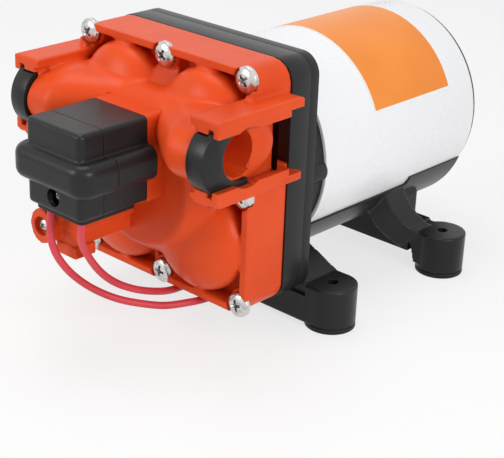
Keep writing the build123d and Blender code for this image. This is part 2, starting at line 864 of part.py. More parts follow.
def make_wobble_parts():
    pad_y = head_back_y + diaphragm_thickness
    plate_y = pad_y + pad_length
    bearing_y = plate_y + hub_floor
    head_y = head_back_y - piston_head_thickness
    with BuildPart() as plate:
        rod(wobble_radius, plate_y, plate_y + wobble_thickness, z=0.0, place=tilted)
        rod(hub_radius, plate_y, plate_y + hub_length, z=0.0, place=tilted)
        for x, z in chamber_places():
            rod(pad_radius, pad_y, plate_y + overrun, x, z, place=tilted)
            rod(piston_screw_radius, pad_y - overrun, head_back_y + piston_screw_grip, x, z, place=tilted, mode=Mode.SUBTRACT)
        rod(bearing_radius, bearing_y, plate_y + hub_length + overrun, z=0.0, place=tilted, mode=Mode.SUBTRACT)
    finish(plate.part, "wobble_plate")
    with BuildPart() as bearing:
        rod(
            bearing_radius, bearing_y, bearing_y + bearing_width, z=0.0,
            bore=shaft_radius + running_clearance, place=tilted,
        )
        cut_bearing_face(bearing_y, bearing_y + bearing_width, 0.0, tilted)
    finish(bearing.part, "wobble_bearing")
    with BuildPart() as heads:
        for x, z in chamber_places():
            rod(piston_head_radius, head_y, head_back_y, x, z, place=tilted)
            rod(piston_screw_radius, head_y - overrun, head_back_y + overrun, x, z, place=tilted, mode=Mode.SUBTRACT)
            rod(
                piston_screw_head_radius, head_y - overrun, head_y + piston_screw_head, x, z,
                place=tilted, mode=Mode.SUBTRACT,
            )
    finish(heads.part, "piston_heads")
    with BuildPart() as screws:
        for x, z in chamber_places():
            rod(piston_screw_head_radius, head_y, head_y + piston_screw_head, x, z, place=tilted)
            rod(piston_screw_radius, head_y, head_back_y + piston_screw_grip, x, z, place=tilted)
            with BuildSketch(tilted(head_y, x, z)) as recess:
                Rectangle(small_cross_span, small_cross_width)
                Rectangle(small_cross_width, small_cross_span)
            extrude(recess.sketch, amount=-small_cross_depth, mode=Mode.SUBTRACT)
    finish(screws.part, "piston_screws")


def cut_bearing_face(y0, y1, z, place):
    """Shallow grooves in both faces, between the inner and outer rings of a ball bearing."""
    groove = bearing_lip / 2
    for face_y, back_y in ((y0, y0 + groove), (y1 - groove, y1)):
        rod(
            bearing_radius - bearing_lip, face_y, back_y, z=z, bore=shaft_radius + bearing_lip,
            place=place, mode=Mode.SUBTRACT,
        )


def make_drive_cam():
    spigot_y = head_back_y + diaphragm_thickness + pad_length + hub_floor + spigot_gap
    cam_y = rim_y + cam_front_back
    with BuildPart() as cam:
        rod(shaft_radius, spigot_y, cam_y + overrun, z=0.0, place=tilted)
        rod(cam_radius, cam_y, cam_y + cam_length)
        rod(shaft_radius, cam_y + cam_length - cam_socket, cam_y + cam_length + overrun, mode=Mode.SUBTRACT)
    finish(cam.part, "drive_cam")


def front_bearing_y():
    return drive_back_y + flange_pocket_depth


def rear_bearing_y():
    return bell_back_y + rear_boss_depth - rear_bearing_wall - bearing_width


def make_front_flange():
    seat_y = front_bearing_y()
    hub_back_y = seat_y + bearing_width + bearing_end_wall
    shell_y = drive_back_y + flange_plate
    shell_radius = flange_radius - flange_shell
    with BuildPart() as flange:
        rod(flange_radius, drive_back_y, flange_back_y)
        rod(shell_radius, shell_y, flange_back_y + overrun, mode=Mode.SUBTRACT)
        rod(flange_hub_radius, drive_back_y, flange_back_y)
        rod(bearing_boss_radius, drive_back_y, hub_back_y)
        for x in pair(side_boss_x):
            rod(side_boss_radius, drive_back_y + side_boss_setback, flange_back_y, x)
        for x, z in flange_screw_places():
            rod(flange_screw_boss, drive_back_y, flange_back_y, x, axis_z + z)
        # Nothing stands beyond the round rim but the two side bosses
        rod(flange_pocket_radius, drive_back_y - overrun, seat_y, mode=Mode.SUBTRACT)
        rod(bearing_radius, seat_y - overrun, seat_y + bearing_width, mode=Mode.SUBTRACT)
        rod(bearing_hole_radius, seat_y, hub_back_y + overrun, mode=Mode.SUBTRACT)
        for x in pair(tie_bolt_x):
            rod(tie_bolt_radius, flange_back_y - tie_bolt_grip, flange_back_y + overrun, x, mode=Mode.SUBTRACT)
        for x, z in flange_screw_places():
            rod(
                flange_screw_radius, drive_back_y - overrun,
                housing_back_y + flange_screw_head + flange_screw_length, x, axis_z + z,
                mode=Mode.SUBTRACT,
            )
        slab(
            pair(grommet_half),
            (drive_back_y + grommet_setback, drive_back_y + grommet_setback + grommet_length),
            (axis_z - flange_radius - overrun, axis_z - flange_radius - grommet_stand + grommet_depth),
            Mode.SUBTRACT,
        )
    finish(flange.part, "motor_front_flange")


def make_bearing(name, y):
    with BuildPart() as bearing:
        rod(bearing_radius, y, y + bearing_width, bore=shaft_radius + running_clearance)
        cut_bearing_face(y, y + bearing_width, axis_z, across)
    finish(bearing.part, name)


def base_screw_ys():
    """The two places along the motor where screws hold the cradle."""
    return (flange_back_y + base_screw_front, flange_back_y + base_screw_rear)


def make_motor_shells():
    with BuildPart() as can:
        rod(can_radius, flange_back_y, sleeve_back_y, bore=can_radius - can_wall)
        for y in base_screw_ys():
            bar(base_screw_radius, (0, y, axis_z - can_radius - overrun), (0, 0, 1), can_wall + 2 * overrun, Mode.SUBTRACT)
    finish(can.part, "motor_can")
    with BuildPart() as sleeve:
        rod(sleeve_radius, flange_back_y, sleeve_back_y, bore=can_radius)
        for y in base_screw_ys():
            bar(
                base_screw_radius + screw_hole_clearance, (0, y, axis_z - sleeve_radius - overrun),
                (0, 0, 1), sleeve_radius - can_radius + 2 * overrun, Mode.SUBTRACT,
            )
    finish(sleeve.part, "motor_sleeve")
    with BuildPart() as label:
        label_arc(label_half_angle)
    finish(label.part, "label_panel")


def label_arc(half_angle):
    """A thin curved sheet over the top of the sleeve."""
    y = flange_back_y + label_start
    with BuildSketch(across(y)) as sheet:
        inner = sleeve_radius + label_gap
        ring_sector(inner, inner + label_thickness, upright_angle - half_angle, upright_angle + half_angle)
    extrude(sheet.sketch, amount=-label_length)


def ring_sector(inner, outer, start, end):
    """A flat sector of a ring between two angles, in degrees from +X towards +Z."""
    first, last = math.radians(start), math.radians(end)
    middle = (first + last) / 2

    def at(radius, angle):
        return (radius * math.cos(angle), radius * math.sin(angle))

    with BuildLine() as edge:
        ThreePointArc(at(outer, first), at(outer, middle), at(outer, last))
        Line(at(outer, last), at(inner, last))
        ThreePointArc(at(inner, last), at(inner, middle), at(inner, first))
        Line(at(inner, first), at(outer, first))
    make_face(edge.line)


def make_magnets():
    y = flange_back_y + magnet_start
    inner = can_radius - can_wall - magnet_thickness
    with BuildPart() as magnets:
        for middle in pair(upright_angle):
            low, high = middle - magnet_half_angle, middle + magnet_half_angle
            with BuildSketch(across(y)) as arc:
                ring_sector(inner, can_radius - can_wall, low, high)
            extrude(arc.sketch, amount=-magnet_length)
    finish(magnets.part, "magnets")


def make_tie_bolts():
    with BuildPart() as bolts:
        for x in pair(tie_bolt_x):
            rod(tie_bolt_radius, flange_back_y - tie_bolt_grip, bell_back_y, x)
            with BuildSketch(across(bell_back_y + tie_bolt_head, x)) as hexagon:
                RegularPolygon(tie_bolt_head_radius, 6)
            extrude(hexagon.sketch, amount=tie_bolt_head)
    finish(bolts.part, "tie_bolts")


def make_rear_end_bell():
    boss_back_y = bell_back_y + rear_boss_depth
    seat_y = rear_bearing_y()
    with BuildPart() as bell:
        rod(bell_radius, sleeve_back_y, bell_back_y)
        rod(rear_boss_radius, bell_back_y, boss_back_y)
        fillet(bell.edges().filter_by(GeomType.CIRCLE).sort_by(Axis.Y)[-1], rear_boss_round)
        rod(
            can_radius - can_wall, sleeve_back_y - rear_spigot_depth, sleeve_back_y,
            bore=can_radius - 2 * can_wall,
        )
        rod(bearing_boss_radius, seat_y, bell_back_y)
        rod(bearing_radius, seat_y - overrun, seat_y + bearing_width, mode=Mode.SUBTRACT)
        for x in pair(tie_bolt_x):
            rod(tie_bolt_radius, sleeve_back_y - overrun, bell_back_y + overrun, x, mode=Mode.SUBTRACT)
            rod(
                tie_bolt_radius + seat_clearance, sleeve_back_y - rear_spigot_depth - overrun,
                sleeve_back_y, x, mode=Mode.SUBTRACT,
            )
    finish(bell.part, "rear_end_bell")


def make_rotor():
    core_y = flange_back_y + rotor_start
    core_back_y = core_y + rotor_length
    with BuildPart() as core:
        rod(rotor_radius, core_y, core_back_y, bore=shaft_radius)
        with BuildSketch(across(core_y - overrun)):
            with PolarLocations(slot_ring, slot_count):
                Circle(slot_radius)
                with Locations((rotor_radius - slot_ring, 0)):
                    Rectangle(2 * (rotor_radius - slot_ring), slot_mouth)
        extrude(amount=-(rotor_length + 2 * overrun), mode=Mode.SUBTRACT)
    finish(core.part, "rotor_core")
    with BuildPart() as windings:
        rod(winding_radius, core_y - winding_overhang, core_y, bore=winding_inner)
        rod(winding_radius, core_back_y, core_back_y + winding_overhang, bore=winding_inner)
        with BuildSketch(across(core_y - overrun)):
            with PolarLocations(slot_ring, slot_count):
                Circle(slot_radius - running_clearance)
        extrude(amount=-(rotor_length + 2 * overrun))
    finish(windings.part, "rotor_windings")
    commutator_y = flange_back_y + commutator_start
    with BuildPart() as commutator:
        rod(commutator_radius, commutator_y, commutator_y + commutator_length, bore=shaft_radius)
        with BuildSketch(across(commutator_y - overrun)):
            with PolarLocations(commutator_radius, slot_count):
                Rectangle(2 * commutator_slit_depth, commutator_slit)
        extrude(amount=-(commutator_length + 2 * overrun), mode=Mode.SUBTRACT)
    finish(commutator.part, "commutator")
    with BuildPart() as shaft:
        rod(shaft_radius, rim_y + shaft_front_back, rear_bearing_y() + bearing_width)
    finish(shaft.part, "motor_shaft")


def brush_y():
    return flange_back_y + brush_ring_start + brush_ring_length / 2


def make_brushes():
    ring_y = flange_back_y + brush_ring_start
    middle_y = brush_y()
    slot_y = (middle_y - brush_thickness / 2, middle_y + brush_thickness / 2)
    slot_z = (axis_z - brush_width / 2, axis_z + brush_width / 2)
    brush_start = commutator_radius + brush_gap
    with BuildPart() as holder:
        rod(can_radius - can_wall, ring_y, ring_y + brush_ring_length, bore=brush_ring_inner)
        for side in (-1, 1):
            slab((0, side * brush_slot_end), slot_y, slot_z, Mode.SUBTRACT)
        for x in pair(tie_bolt_x):
            rod(tie_bolt_radius, ring_y - overrun, ring_y + brush_ring_length + overrun, x, mode=Mode.SUBTRACT)
    finish(holder.part, "brush_holder")
    with BuildPart() as brushes:
        for side in (-1, 1):
            slab((side * brush_start, side * (brush_start + brush_length)), slot_y, slot_z)
    finish(brushes.part, "brushes")
    with BuildPart() as springs:
        for side in (-1, 1):
            start = (side * (brush_start + brush_length), middle_y, axis_z)
            length = brush_slot_end - brush_start - brush_length
            bar(brush_spring_radius, start, (side, 0, 0), length)
            bar(brush_spring_bore, start, (side, 0, 0), length, Mode.SUBTRACT)
    finish(springs.part, "brush_springs")


def make_motor_straps():
    """Two flat conductors from the grommet round the flange and back to the brush holder."""
    arc_y = drive_back_y + strap_start
    width_angle = math.degrees(strap_width / strap_radius)
    grommet_angle = 90 - math.degrees(math.asin(lead_entry_x / strap_radius)) + width_angle / 2
    outer = strap_radius + strap_thickness
    with BuildPart() as straps:
        for side in (-1, 1):
            low, high = -grommet_angle, -strap_angle
            if side < 0:
                low, high = 180 + strap_angle, 180 + grommet_angle
            with BuildSketch(across(arc_y)) as arc:
                ring_sector(strap_radius, outer, low, high)
            extrude(arc.sketch, amount=-strap_width)
            low, high = -strap_angle - width_angle, -strap_angle
            if side < 0:
                low, high = 180 + strap_angle, 180 + strap_angle + width_angle
            with BuildSketch(across(arc_y)) as run:
                ring_sector(strap_radius, outer, low, high)
            extrude(run.sketch, amount=-(flange_back_y + brush_ring_start - arc_y))
    finish(straps.part, "motor_straps")


def leg_outline(points, side):
    """A leg seen from the front: an outline with one concave stretch up to the cradle rim."""
    rim = (cradle_half_width, axis_z - cradle_rim_drop)
    shoulder = (leg_top_x, foot_height)
    span = math.hypot(shoulder[0] - rim[0], shoulder[1] - rim[1])
    sag = leg_hollow_radius - math.sqrt(leg_hollow_radius**2 - (span / 2) ** 2)
    middle = ((rim[0] + shoulder[0]) / 2, (rim[1] + shoulder[1]) / 2)
    inward = ((shoulder[1] - rim[1]) / span, (rim[0] - shoulder[0]) / span)
    hollow = (middle[0] + sag * inward[0], middle[1] + sag * inward[1])
    with BuildLine() as edge:
        Polyline(*[(side * x, z - axis_z) for x, z in [rim] + points + [shoulder]])
        ThreePointArc(*[(side * x, z - axis_z) for x, z in (shoulder, hollow, rim)])
    make_face(edge.line)


def make_base_bracket():
    cradle_y = flange_back_y + cradle_start
    cradle_outer = sleeve_radius + cradle_wall
    rim_z = axis_z - cradle_rim_drop
    front_points = [(front_leg_inner_x, rim_z), (front_leg_inner_x, pad_height), (foot_x, pad_height), (foot_x, foot_height)]
    rear_points = [
        (0, rim_z), (0, rear_leg_rise), (rear_leg_step_x, rear_leg_rise),
        (rear_leg_step_x + rear_leg_step, rear_leg_rise - rear_leg_step),
        (foot_x, rear_leg_rise - rear_leg_step), (foot_x, foot_height),
    ]
    with BuildPart() as bracket:
        rod(cradle_outer, cradle_y, cradle_y + cradle_length)
        slab(
            pair(cradle_half_width), (cradle_y - overrun, cradle_y + cradle_length + overrun),
            (axis_z - cradle_outer - overrun, rim_z), Mode.INTERSECT,
        )
        for side in (-1, 1):
            for y, points in ((-foot_y, front_points), (foot_y, rear_points)):
                with BuildSketch(across(y - leg_width / 2)) as leg:
                    leg_outline(points, side)
                extrude(leg.sketch, amount=-leg_width)
                bar(foot_radius, (side * foot_x, y, pad_height), (0, 0, 1), foot_height - pad_height)
        rod(sleeve_radius, -foot_y - leg_width, cradle_y + cradle_length + overrun, mode=Mode.SUBTRACT)
        outline_block(
            head_width + 2 * plate_margin, -foot_y - leg_width, drive_back_y + seat_clearance,
            -seat_clearance, Mode.SUBTRACT,
        )
        for x in pair(foot_x):
            for y in pair(foot_y):
                bar(foot_hole_radius, (x, y, 0), (0, 0, 1), foot_height + overrun, Mode.SUBTRACT)
        for y in base_screw_ys():
            bar(
                base_screw_radius + screw_hole_clearance, (0, y, axis_z - cradle_outer - overrun),
                (0, 0, 1), cradle_wall + 2 * overrun, Mode.SUBTRACT,
            )
    finish(bracket.part, "base_bracket")
    with BuildPart() as pads:
        for x in pair(foot_x):
            for y in pair(foot_y):
                with BuildSketch(Plane.XY) as sole:
                    with Locations((x, y)):
                        Circle(foot_radius + pad_flare)
                        Circle(foot_hole_radius, mode=Mode.SUBTRACT)
                extrude(sole.sketch, amount=pad_height)
    finish(pads.part, "foot_pads")
    with BuildPart() as screws:
        for y in base_screw_ys():
            seat_z = axis_z - cradle_outer
            bar(base_screw_radius, (0, y, seat_z), (0, 0, 1), cradle_outer - can_radius + can_wall - base_screw_gap)
            bar(base_screw_head_radius, (0, y, seat_z - base_screw_head), (0, 0, 1), base_screw_head)
    finish(screws.part, "base_screws")


def make_switch_covers():
    front_y = rim_y - switch_front
    split_y = rim_y - switch_split
    rear_y = rim_y - switch_rear
    add_switch_shell("switch_cover_front", front_y, split_y, True)
    add_switch_shell("switch_cover_rear", split_y, rear_y, False)


def add_switch_shell(name, y0, y1, closed):
    """One half of the box; the front half is closed and has the hole for the adjusting screw."""
    outer_x = pair(switch_half_width)
    box_z = (switch_bottom, switch_bottom + switch_height)
    roll_z = (switch_bottom + roll_bottom_up, switch_bottom + roll_bottom_up + roll_height)
    inner_x = pair(switch_half_width - switch_wall)
    roof_z = switch_bottom + switch_height - switch_wall
    front_y = rim_y - switch_front
    rear_y = rim_y - switch_rear
    with BuildPart() as shell:
        slab(outer_x, (front_y, rear_y), box_z)
        fillet(shell.edges().filter_by(Axis.Z).group_by(Axis.Y)[0], switch_corner)
        fillet(shell.edges().group_by(Axis.Z)[-1], switch_corner / 2)
        with BuildPart(mode=Mode.PRIVATE) as roll:
            slab(pair(switch_half_width + roll_reach), (front_y - roll_reach, rear_y), roll_z)
            fillet(roll.edges().filter_by(Axis.Z).group_by(Axis.Y)[0], roll_corner)
            fillet(roll.edges().group_by(Axis.Z)[-1] + roll.edges().group_by(Axis.Z)[0], roll_edge)
        add(roll.part)
        inner_front = front_y + switch_wall
        slab(inner_x, (inner_front, rear_y + overrun), (switch_bottom - overrun, roof_z), Mode.SUBTRACT)
        slab(
            pair(switch_half_width + roll_reach + overrun), (y0 if closed is False else front_y - 2 * roll_reach, y1),
            (switch_bottom - overrun, switch_bottom + switch_height + overrun), Mode.INTERSECT,
        )
        if closed:
            rod(screw_window_radius, front_y - 2 * roll_reach, inner_front + overrun, z=switch_axis_z, mode=Mode.SUBTRACT)
    finish(shell.part, name)


def make_cable_seal():
    inner = switch_half_width - switch_wall
    y_range = (rim_y - switch_front + switch_wall, rim_y - switch_rear)
    seal_z = (switch_bottom - lip_depth, switch_bottom + lip_sink)
    with BuildPart() as seal:
        slab(pair(inner - lip_clearance), y_range, seal_z)
        for x in pair(lead_exit_x):
            slab(
                (x - terminal_width / 2, x + terminal_width / 2),
                terminal_y_range(), (switch_bottom - terminal_sink, seal_z[1] + overrun), Mode.SUBTRACT,
            )
    finish(seal.part, "cable_seal")


def terminal_y_range():
    middle = rim_y - terminal_forward
    return (middle - terminal_thickness / 2, middle + terminal_thickness / 2)


def make_switch_base():
    block_half = switch_half_width - base_margin
    block_y = (rim_y - switch_rear, rim_y - disc_rise)
    lug_y = rim_y - lug_front
    stem_hole = switch_stem_radius + running_clearance
    with BuildPart() as base:
        slab(pair(block_half), block_y, (switch_bottom - base_margin, switch_bottom + switch_height - base_margin))
        slab((-arm_left_x, -arm_right_x), (rim_y - arm_front, block_y[1]), (arm_bottom, arm_top))
        slab((-tail_left_x, -arm_right_x), (rim_y - arm_front, rim_y - arm_front + tail_length), (tail_bottom, arm_bottom + overrun))
        slab((-arm_left_x, -arm_right_x), block_y, (arm_top - overrun, switch_bottom))
        rod(lug_radius, lug_y, lug_y + lug_length + overrun, -arm_left_x, lug_z)
        rod(lug_bore_radius, lug_y - overrun, lug_y + lug_bore_depth, -arm_left_x, lug_z, mode=Mode.SUBTRACT)
        rod(small_screw_radius, lug_y, lug_y + lug_bore_depth + lug_screw_length, -arm_left_x, lug_z, mode=Mode.SUBTRACT)
        # Guide of the piston and the pocket of its head
        pocket_y = rim_y - disc_rise - switch_piston_gap - switch_piston_head - switch_travel - switch_piston_gap
        rod(stem_hole, block_y[0] - overrun, block_y[1] + overrun, z=switch_axis_z, mode=Mode.SUBTRACT)
        rod(switch_piston_pocket, pocket_y, block_y[1] + overrun, z=switch_axis_z, mode=Mode.SUBTRACT)
        for x in pair(base_screw_x):
            z = switch_bottom + base_screw_up
            rod(
                small_screw_head_radius + seat_clearance, block_y[0] - overrun,
                block_y[0] + small_screw_head, x, z, mode=Mode.SUBTRACT,
            )
            rod(small_screw_radius, block_y[0], block_y[1] + overrun, x, z, mode=Mode.SUBTRACT)
    finish(base.part, "switch_base")
    cross = (small_cross_width, small_cross_span, small_cross_depth)
    with BuildPart() as screws:
        for x in pair(base_screw_x):
            pan_screw(
                x, block_y[0] + small_screw_head, switch_bottom + base_screw_up, small_screw_radius,
                small_screw_grip, small_screw_head_radius, small_screw_head, cross,
            )
        pan_screw(
            -arm_left_x, lug_y + lug_bore_depth, lug_z, small_screw_radius, lug_screw_length,
            small_screw_head_radius, small_screw_head, cross,
        )
    finish(screws.part, "switch_base_screws")


def make_switch_works():
    disc_y = rim_y - disc_rise
    with BuildPart() as diaphragm:
        rod(switch_diaphragm_radius, disc_y, disc_y + switch_diaphragm_thickness, z=switch_axis_z)
    finish(diaphragm.part, "switch_diaphragm")
    piston_back = disc_y - switch_piston_gap
    stem_front = rim_y - switch_stem_end
    plate_y = (stem_front - actuator_thickness, stem_front)
    with BuildPart() as piston:
        rod(switch_piston_radius, piston_back - switch_piston_head, piston_back, z=switch_axis_z)
        rod(switch_stem_radius, stem_front, piston_back, z=switch_axis_z)
        rod(actuator_radius, plate_y[0], plate_y[1], z=switch_axis_z)
        slab(pair(actuator_half_width), plate_y, (switch_axis_z, switch_axis_z + actuator_top_up))
    finish(piston.part, "switch_piston")
    micro_y = (rim_y - micro_front, rim_y - micro_rear)
    button_z = switch_axis_z + button_up
    button_back = plate_y[0] - button_gap
    with BuildPart() as micro:
        slab(
            pair(micro_half_width), micro_y,
            (switch_axis_z + micro_bottom_up, switch_axis_z + micro_bottom_up + micro_height),
        )
        rod(
            button_radius + running_clearance, button_back - button_length - button_socket,
            micro_y[1] + overrun, z=button_z, mode=Mode.SUBTRACT,
        )
    finish(micro.part, "micro_switch")
    with BuildPart() as button:
        rod(button_radius, button_back - button_length, button_back, z=button_z)
    finish(button.part, "switch_button")
    adjust_y = (rim_y - adjust_front, rim_y - adjust_rear)
    with BuildPart() as spring:
        rod(spring_radius, adjust_y[1], plate_y[0], z=switch_axis_z, bore=spring_bore)
    finish(spring.part, "switch_spring")
    with BuildPart() as adjuster:
        rod(adjust_radius, adjust_y[0], adjust_y[1], z=switch_axis_z)
        with BuildSketch(across(adjust_y[0], z=switch_axis_z)):
            Rectangle(2 * adjust_radius + overrun, adjust_slot_width)
        extrude(amount=-adjust_slot_depth, mode=Mode.SUBTRACT)
    finish(adjuster.part, "adjusting_screw")


def make_switch_frame():
    micro_y = rim_y - micro_front
    web_y = (micro_y - frame_thickness, micro_y)
    web_z = (switch_bottom + switch_wall + frame_margin, switch_bottom + switch_height - switch_wall - frame_margin)
    boss_y = rim_y - frame_boss_front
    with BuildPart() as frame:
        slab(pair(frame_half_width), web_y, web_z)
        rod(frame_boss_radius, boss_y, web_y[1], z=switch_axis_z)
        rod(
            adjust_radius + running_clearance, boss_y - overrun, web_y[1] + overrun, z=switch_axis_z,
            mode=Mode.SUBTRACT,
        )
        for x in pair(frame_post_x):
            rod(frame_post_radius, web_y[0], rim_y - switch_rear, x, switch_bottom + frame_post_up)
        for x in pair(lead_exit_x):
            slab(
                (x - terminal_width / 2, x + terminal_width / 2), (web_y[0] - overrun, web_y[1] + overrun),
                terminal_tab_z(), Mode.SUBTRACT,
            )
    finish(frame.part, "switch_frame")
    blade_y = terminal_y_range()
    tab_z = terminal_tab_z()
    with BuildPart() as terminals:
        for x in pair(lead_exit_x):
            x_range = (x - terminal_width / 2, x + terminal_width / 2)
            slab(x_range, blade_y, (switch_bottom - terminal_sink, tab_z[1]))
            slab(x_range, (blade_y[0], micro_y), tab_z)
    finish(terminals.part, "switch_terminals")


def terminal_tab_z():
    top = switch_axis_z + terminal_top_up
    return (top - terminal_thickness, top)


def make_lead_grommet():
    y = drive_back_y + grommet_setback
    z = axis_z - flange_radius - grommet_stand
    with BuildPart() as grommet:
        slab(pair(grommet_half), (y, y + grommet_length), (z, z + grommet_depth))
    finish(grommet.part, "lead_grommet")


def make_lead(name, points):
    """A lead of straight runs joined by arcs as large as their runs allow."""
    corners = [Vector(*point) for point in points]
    runs = [end - start for start, end in zip(corners, corners[1:])]
    radii = []
    for before, after in zip(runs, runs[1:]):
        half_turn = math.radians(before.get_angle(after)) / 2
        radii.append(lead_bend_share * min(before.length, after.length) / math.tan(half_turn))
    with BuildPart() as lead:
        with BuildLine() as route:
            FilletPolyline(*points, radius=radii)
        with BuildSketch(Plane(origin=points[0], z_dir=runs[0])):
            Circle(lead_radius)
        sweep()
    length = sum(edge.length for edge in route.edges())
    print(name, "length", round(length, 1), "radii", [round(radius, 1) for radius in radii])
    print(name, "volume", round(lead.part.volume, 1), "expected", round(math.pi * lead_radius**2 * length, 1))
    finish(lead.part, name)


def main():
    os.makedirs("parts", exist_ok=True)
    make_pump_head()
    make_head_screws()
    make_clip(-1, "inlet_clip")
    make_clip(1, "outlet_clip")
    make_valve_plate()
    make_valves_and_seals()
    make_diaphragm()
    make_diaphragm_housing()
    make_drive_housing()
    make_flange_screws()
    make_wobble_parts()
    make_drive_cam()
    make_front_flange()
    make_bearing("front_bearing", front_bearing_y())
    make_bearing("rear_bearing", rear_bearing_y())
    make_motor_shells()
    make_magnets()
    make_tie_bolts()
    make_rear_end_bell()
    make_rotor()
    make_brushes()
    make_motor_straps()
    make_base_bracket()
    make_switch_covers()
    make_cable_seal()
    make_switch_base()
    make_switch_works()
    make_switch_frame()
    make_lead_grommet()
    make_lead("outer_lead", outer_lead_points)
    make_lead("inner_lead", inner_lead_points)


main()
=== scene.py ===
# %% [markdown]
# # A water pump for a caravan, dressed in Blender
#
# The pump has an orange head with two clip ports, a black pressure switch on its front with two
# red leads, two black plates, a motor in a white sleeve, and a black bracket on four feet.
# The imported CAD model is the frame. Every piece made here sits in that frame, in metres.

# %% Load the frame
import math

import bpy
from mathutils import Matrix, Vector


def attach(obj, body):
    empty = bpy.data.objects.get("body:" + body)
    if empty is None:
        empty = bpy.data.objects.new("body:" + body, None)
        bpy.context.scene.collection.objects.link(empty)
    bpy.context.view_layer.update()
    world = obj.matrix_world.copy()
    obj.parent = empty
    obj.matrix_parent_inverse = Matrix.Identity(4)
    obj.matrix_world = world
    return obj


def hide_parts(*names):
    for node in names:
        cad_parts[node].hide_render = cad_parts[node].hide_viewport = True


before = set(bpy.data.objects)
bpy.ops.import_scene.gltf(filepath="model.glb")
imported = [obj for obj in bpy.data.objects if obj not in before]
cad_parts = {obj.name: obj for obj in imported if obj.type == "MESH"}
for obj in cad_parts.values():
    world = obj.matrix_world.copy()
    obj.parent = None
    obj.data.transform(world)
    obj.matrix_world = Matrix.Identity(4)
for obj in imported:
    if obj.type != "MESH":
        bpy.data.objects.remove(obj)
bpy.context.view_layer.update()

# %% [markdown]
# ## The camera
#
# The photograph looks at the head from its right front and from a little above. A long lens
# from half a metre away keeps the edges almost parallel. The camera leans by two degrees.

# %% Place the camera
camera_place = Vector((0.3605, -0.4301, 0.2606))
camera_azimuth = math.radians(41.94)
camera_elevation = math.radians(23.84)
camera_lean = math.radians(2.23)
camera_lens = 97.45

bpy.ops.object.select_all(action="DESELECT")
bpy.ops.object.camera_add(location=camera_place)
camera = bpy.context.object
camera.name = "photo_camera"
camera.data.lens = camera_lens
camera.data.sensor_width = 36.0
camera.data.clip_start = 0.05
turn = Matrix.Rotation(camera_azimuth, 4, "Z")
tip = Matrix.Rotation(math.radians(90) - camera_elevation, 4, "X")
lean = Matrix.Rotation(camera_lean, 4, "Z")
camera.matrix_world = Matrix.Translation(camera_place) @ turn @ tip @ lean
bpy.context.scene.camera = camera
bpy.context.scene.view_settings.view_transform = "Standard"
print("Camera:", camera_lens, "mm lens,", round(camera_place.length, 3), "m from the origin")

# %% [markdown]
# ## The two leads
#
# Two limp silicone leads hang out of the switch box, sag under the head and go back into the
# grommet under the motor. A smooth spline near a few given points makes each one, since
# a soft wire has no corners. The points are the ones that the solid leads follow. A bare mesh of
# the line is made and dropped first, and then the line gets its thickness and becomes a mesh tube.

# %% Make the leads
lead_diameter = 0.003
merge_distance = 1e-6
lead_routes = {
    "outer_lead": (0.1377, [
        (-0.0086, -0.1320, 0.0600), (-0.0086, -0.1322, 0.0556), (-0.0076, -0.1338, 0.0500),
        (-0.0056, -0.1338, 0.0434), (-0.0042, -0.1306, 0.0364), (-0.0034, -0.1246, 0.0290),
        (-0.0008, -0.1174, 0.0224), (0.0042, -0.1098, 0.0176), (0.0100, -0.1016, 0.0150),
        (0.0150, -0.0950, 0.0137), (0.0189, -0.0874, 0.0139), (0.0204, -0.0790, 0.0130),
        (0.0192, -0.0695, 0.0120), (0.0156, -0.0605, 0.0106), (0.0108, -0.0535, 0.0090),
        (0.0070, -0.0476, 0.0089), (0.0053, -0.0430, 0.0116), (0.0050, -0.0405, 0.0158),
        (0.0050, -0.0405, 0.0204),
    ]),
    "inner_lead": (0.1254, [
        (0.0086, -0.1320, 0.0600), (0.0086, -0.1320, 0.0562), (0.0066, -0.1309, 0.0512),
        (0.0045, -0.1276, 0.0454), (0.0036, -0.1230, 0.0380), (0.0034, -0.1176, 0.0310),
        (0.0043, -0.1112, 0.0252), (0.0062, -0.1036, 0.0208), (0.0074, -0.0956, 0.0176),
        (0.0070, -0.0860, 0.0143), (0.0056, -0.0760, 0.0126), (0.0026, -0.0665, 0.0110),
        (-0.0010, -0.0580, 0.0093), (-0.0038, -0.0505, 0.0084), (-0.0049, -0.0446, 0.0102),
        (-0.0050, -0.0405, 0.0150), (-0.0050, -0.0405, 0.0204),
    ]),
}


def only(piece):
    """Selects one piece alone and makes it active."""
    bpy.ops.object.select_all(action="DESELECT")
    piece.select_set(True)
    bpy.context.view_layer.objects.active = piece
    return piece


def mend(piece):
    """Merges a piece's double points and turns its faces outwards."""
    only(piece)
    bpy.ops.object.mode_set(mode="EDIT")
    bpy.ops.mesh.select_all(action="SELECT")
    bpy.ops.mesh.remove_doubles(threshold=merge_distance)
    bpy.ops.mesh.normals_make_consistent(inside=False)
    bpy.ops.object.mode_set(mode="OBJECT")
    return piece


def make_lead(name, route):
    """A round limp lead along one smooth spline."""
    line = bpy.data.curves.new(name + "_line", "CURVE")
    line.dimensions = "3D"
    spline = line.splines.new("NURBS")
    spline.points.add(len(route) - 1)
    for point, place in zip(spline.points, route):
        point.co = (*place, 1.0)
    spline.order_u = 3
    spline.use_endpoint_u = True
    spline.resolution_u = 8
    lead = bpy.data.objects.new("soft_" + name, line)
    bpy.context.scene.collection.objects.link(lead)
    bare_line = bpy.data.meshes.new_from_object(lead)
    bpy.data.meshes.remove(bare_line)
    line.bevel_depth = lead_diameter / 2
    line.bevel_resolution = 4
    line.use_fill_caps = True
    only(lead)
    bpy.ops.object.convert(target="MESH")
    mend(lead)
    bpy.ops.object.shade_smooth_by_angle(angle=math.radians(40.0))
    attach(lead, "pump_body")
    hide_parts(name)
    return lead


leads = [make_lead(name, route) for name, (length, route) in lead_routes.items()]
print("Leads:", [lead.name for lead in leads])

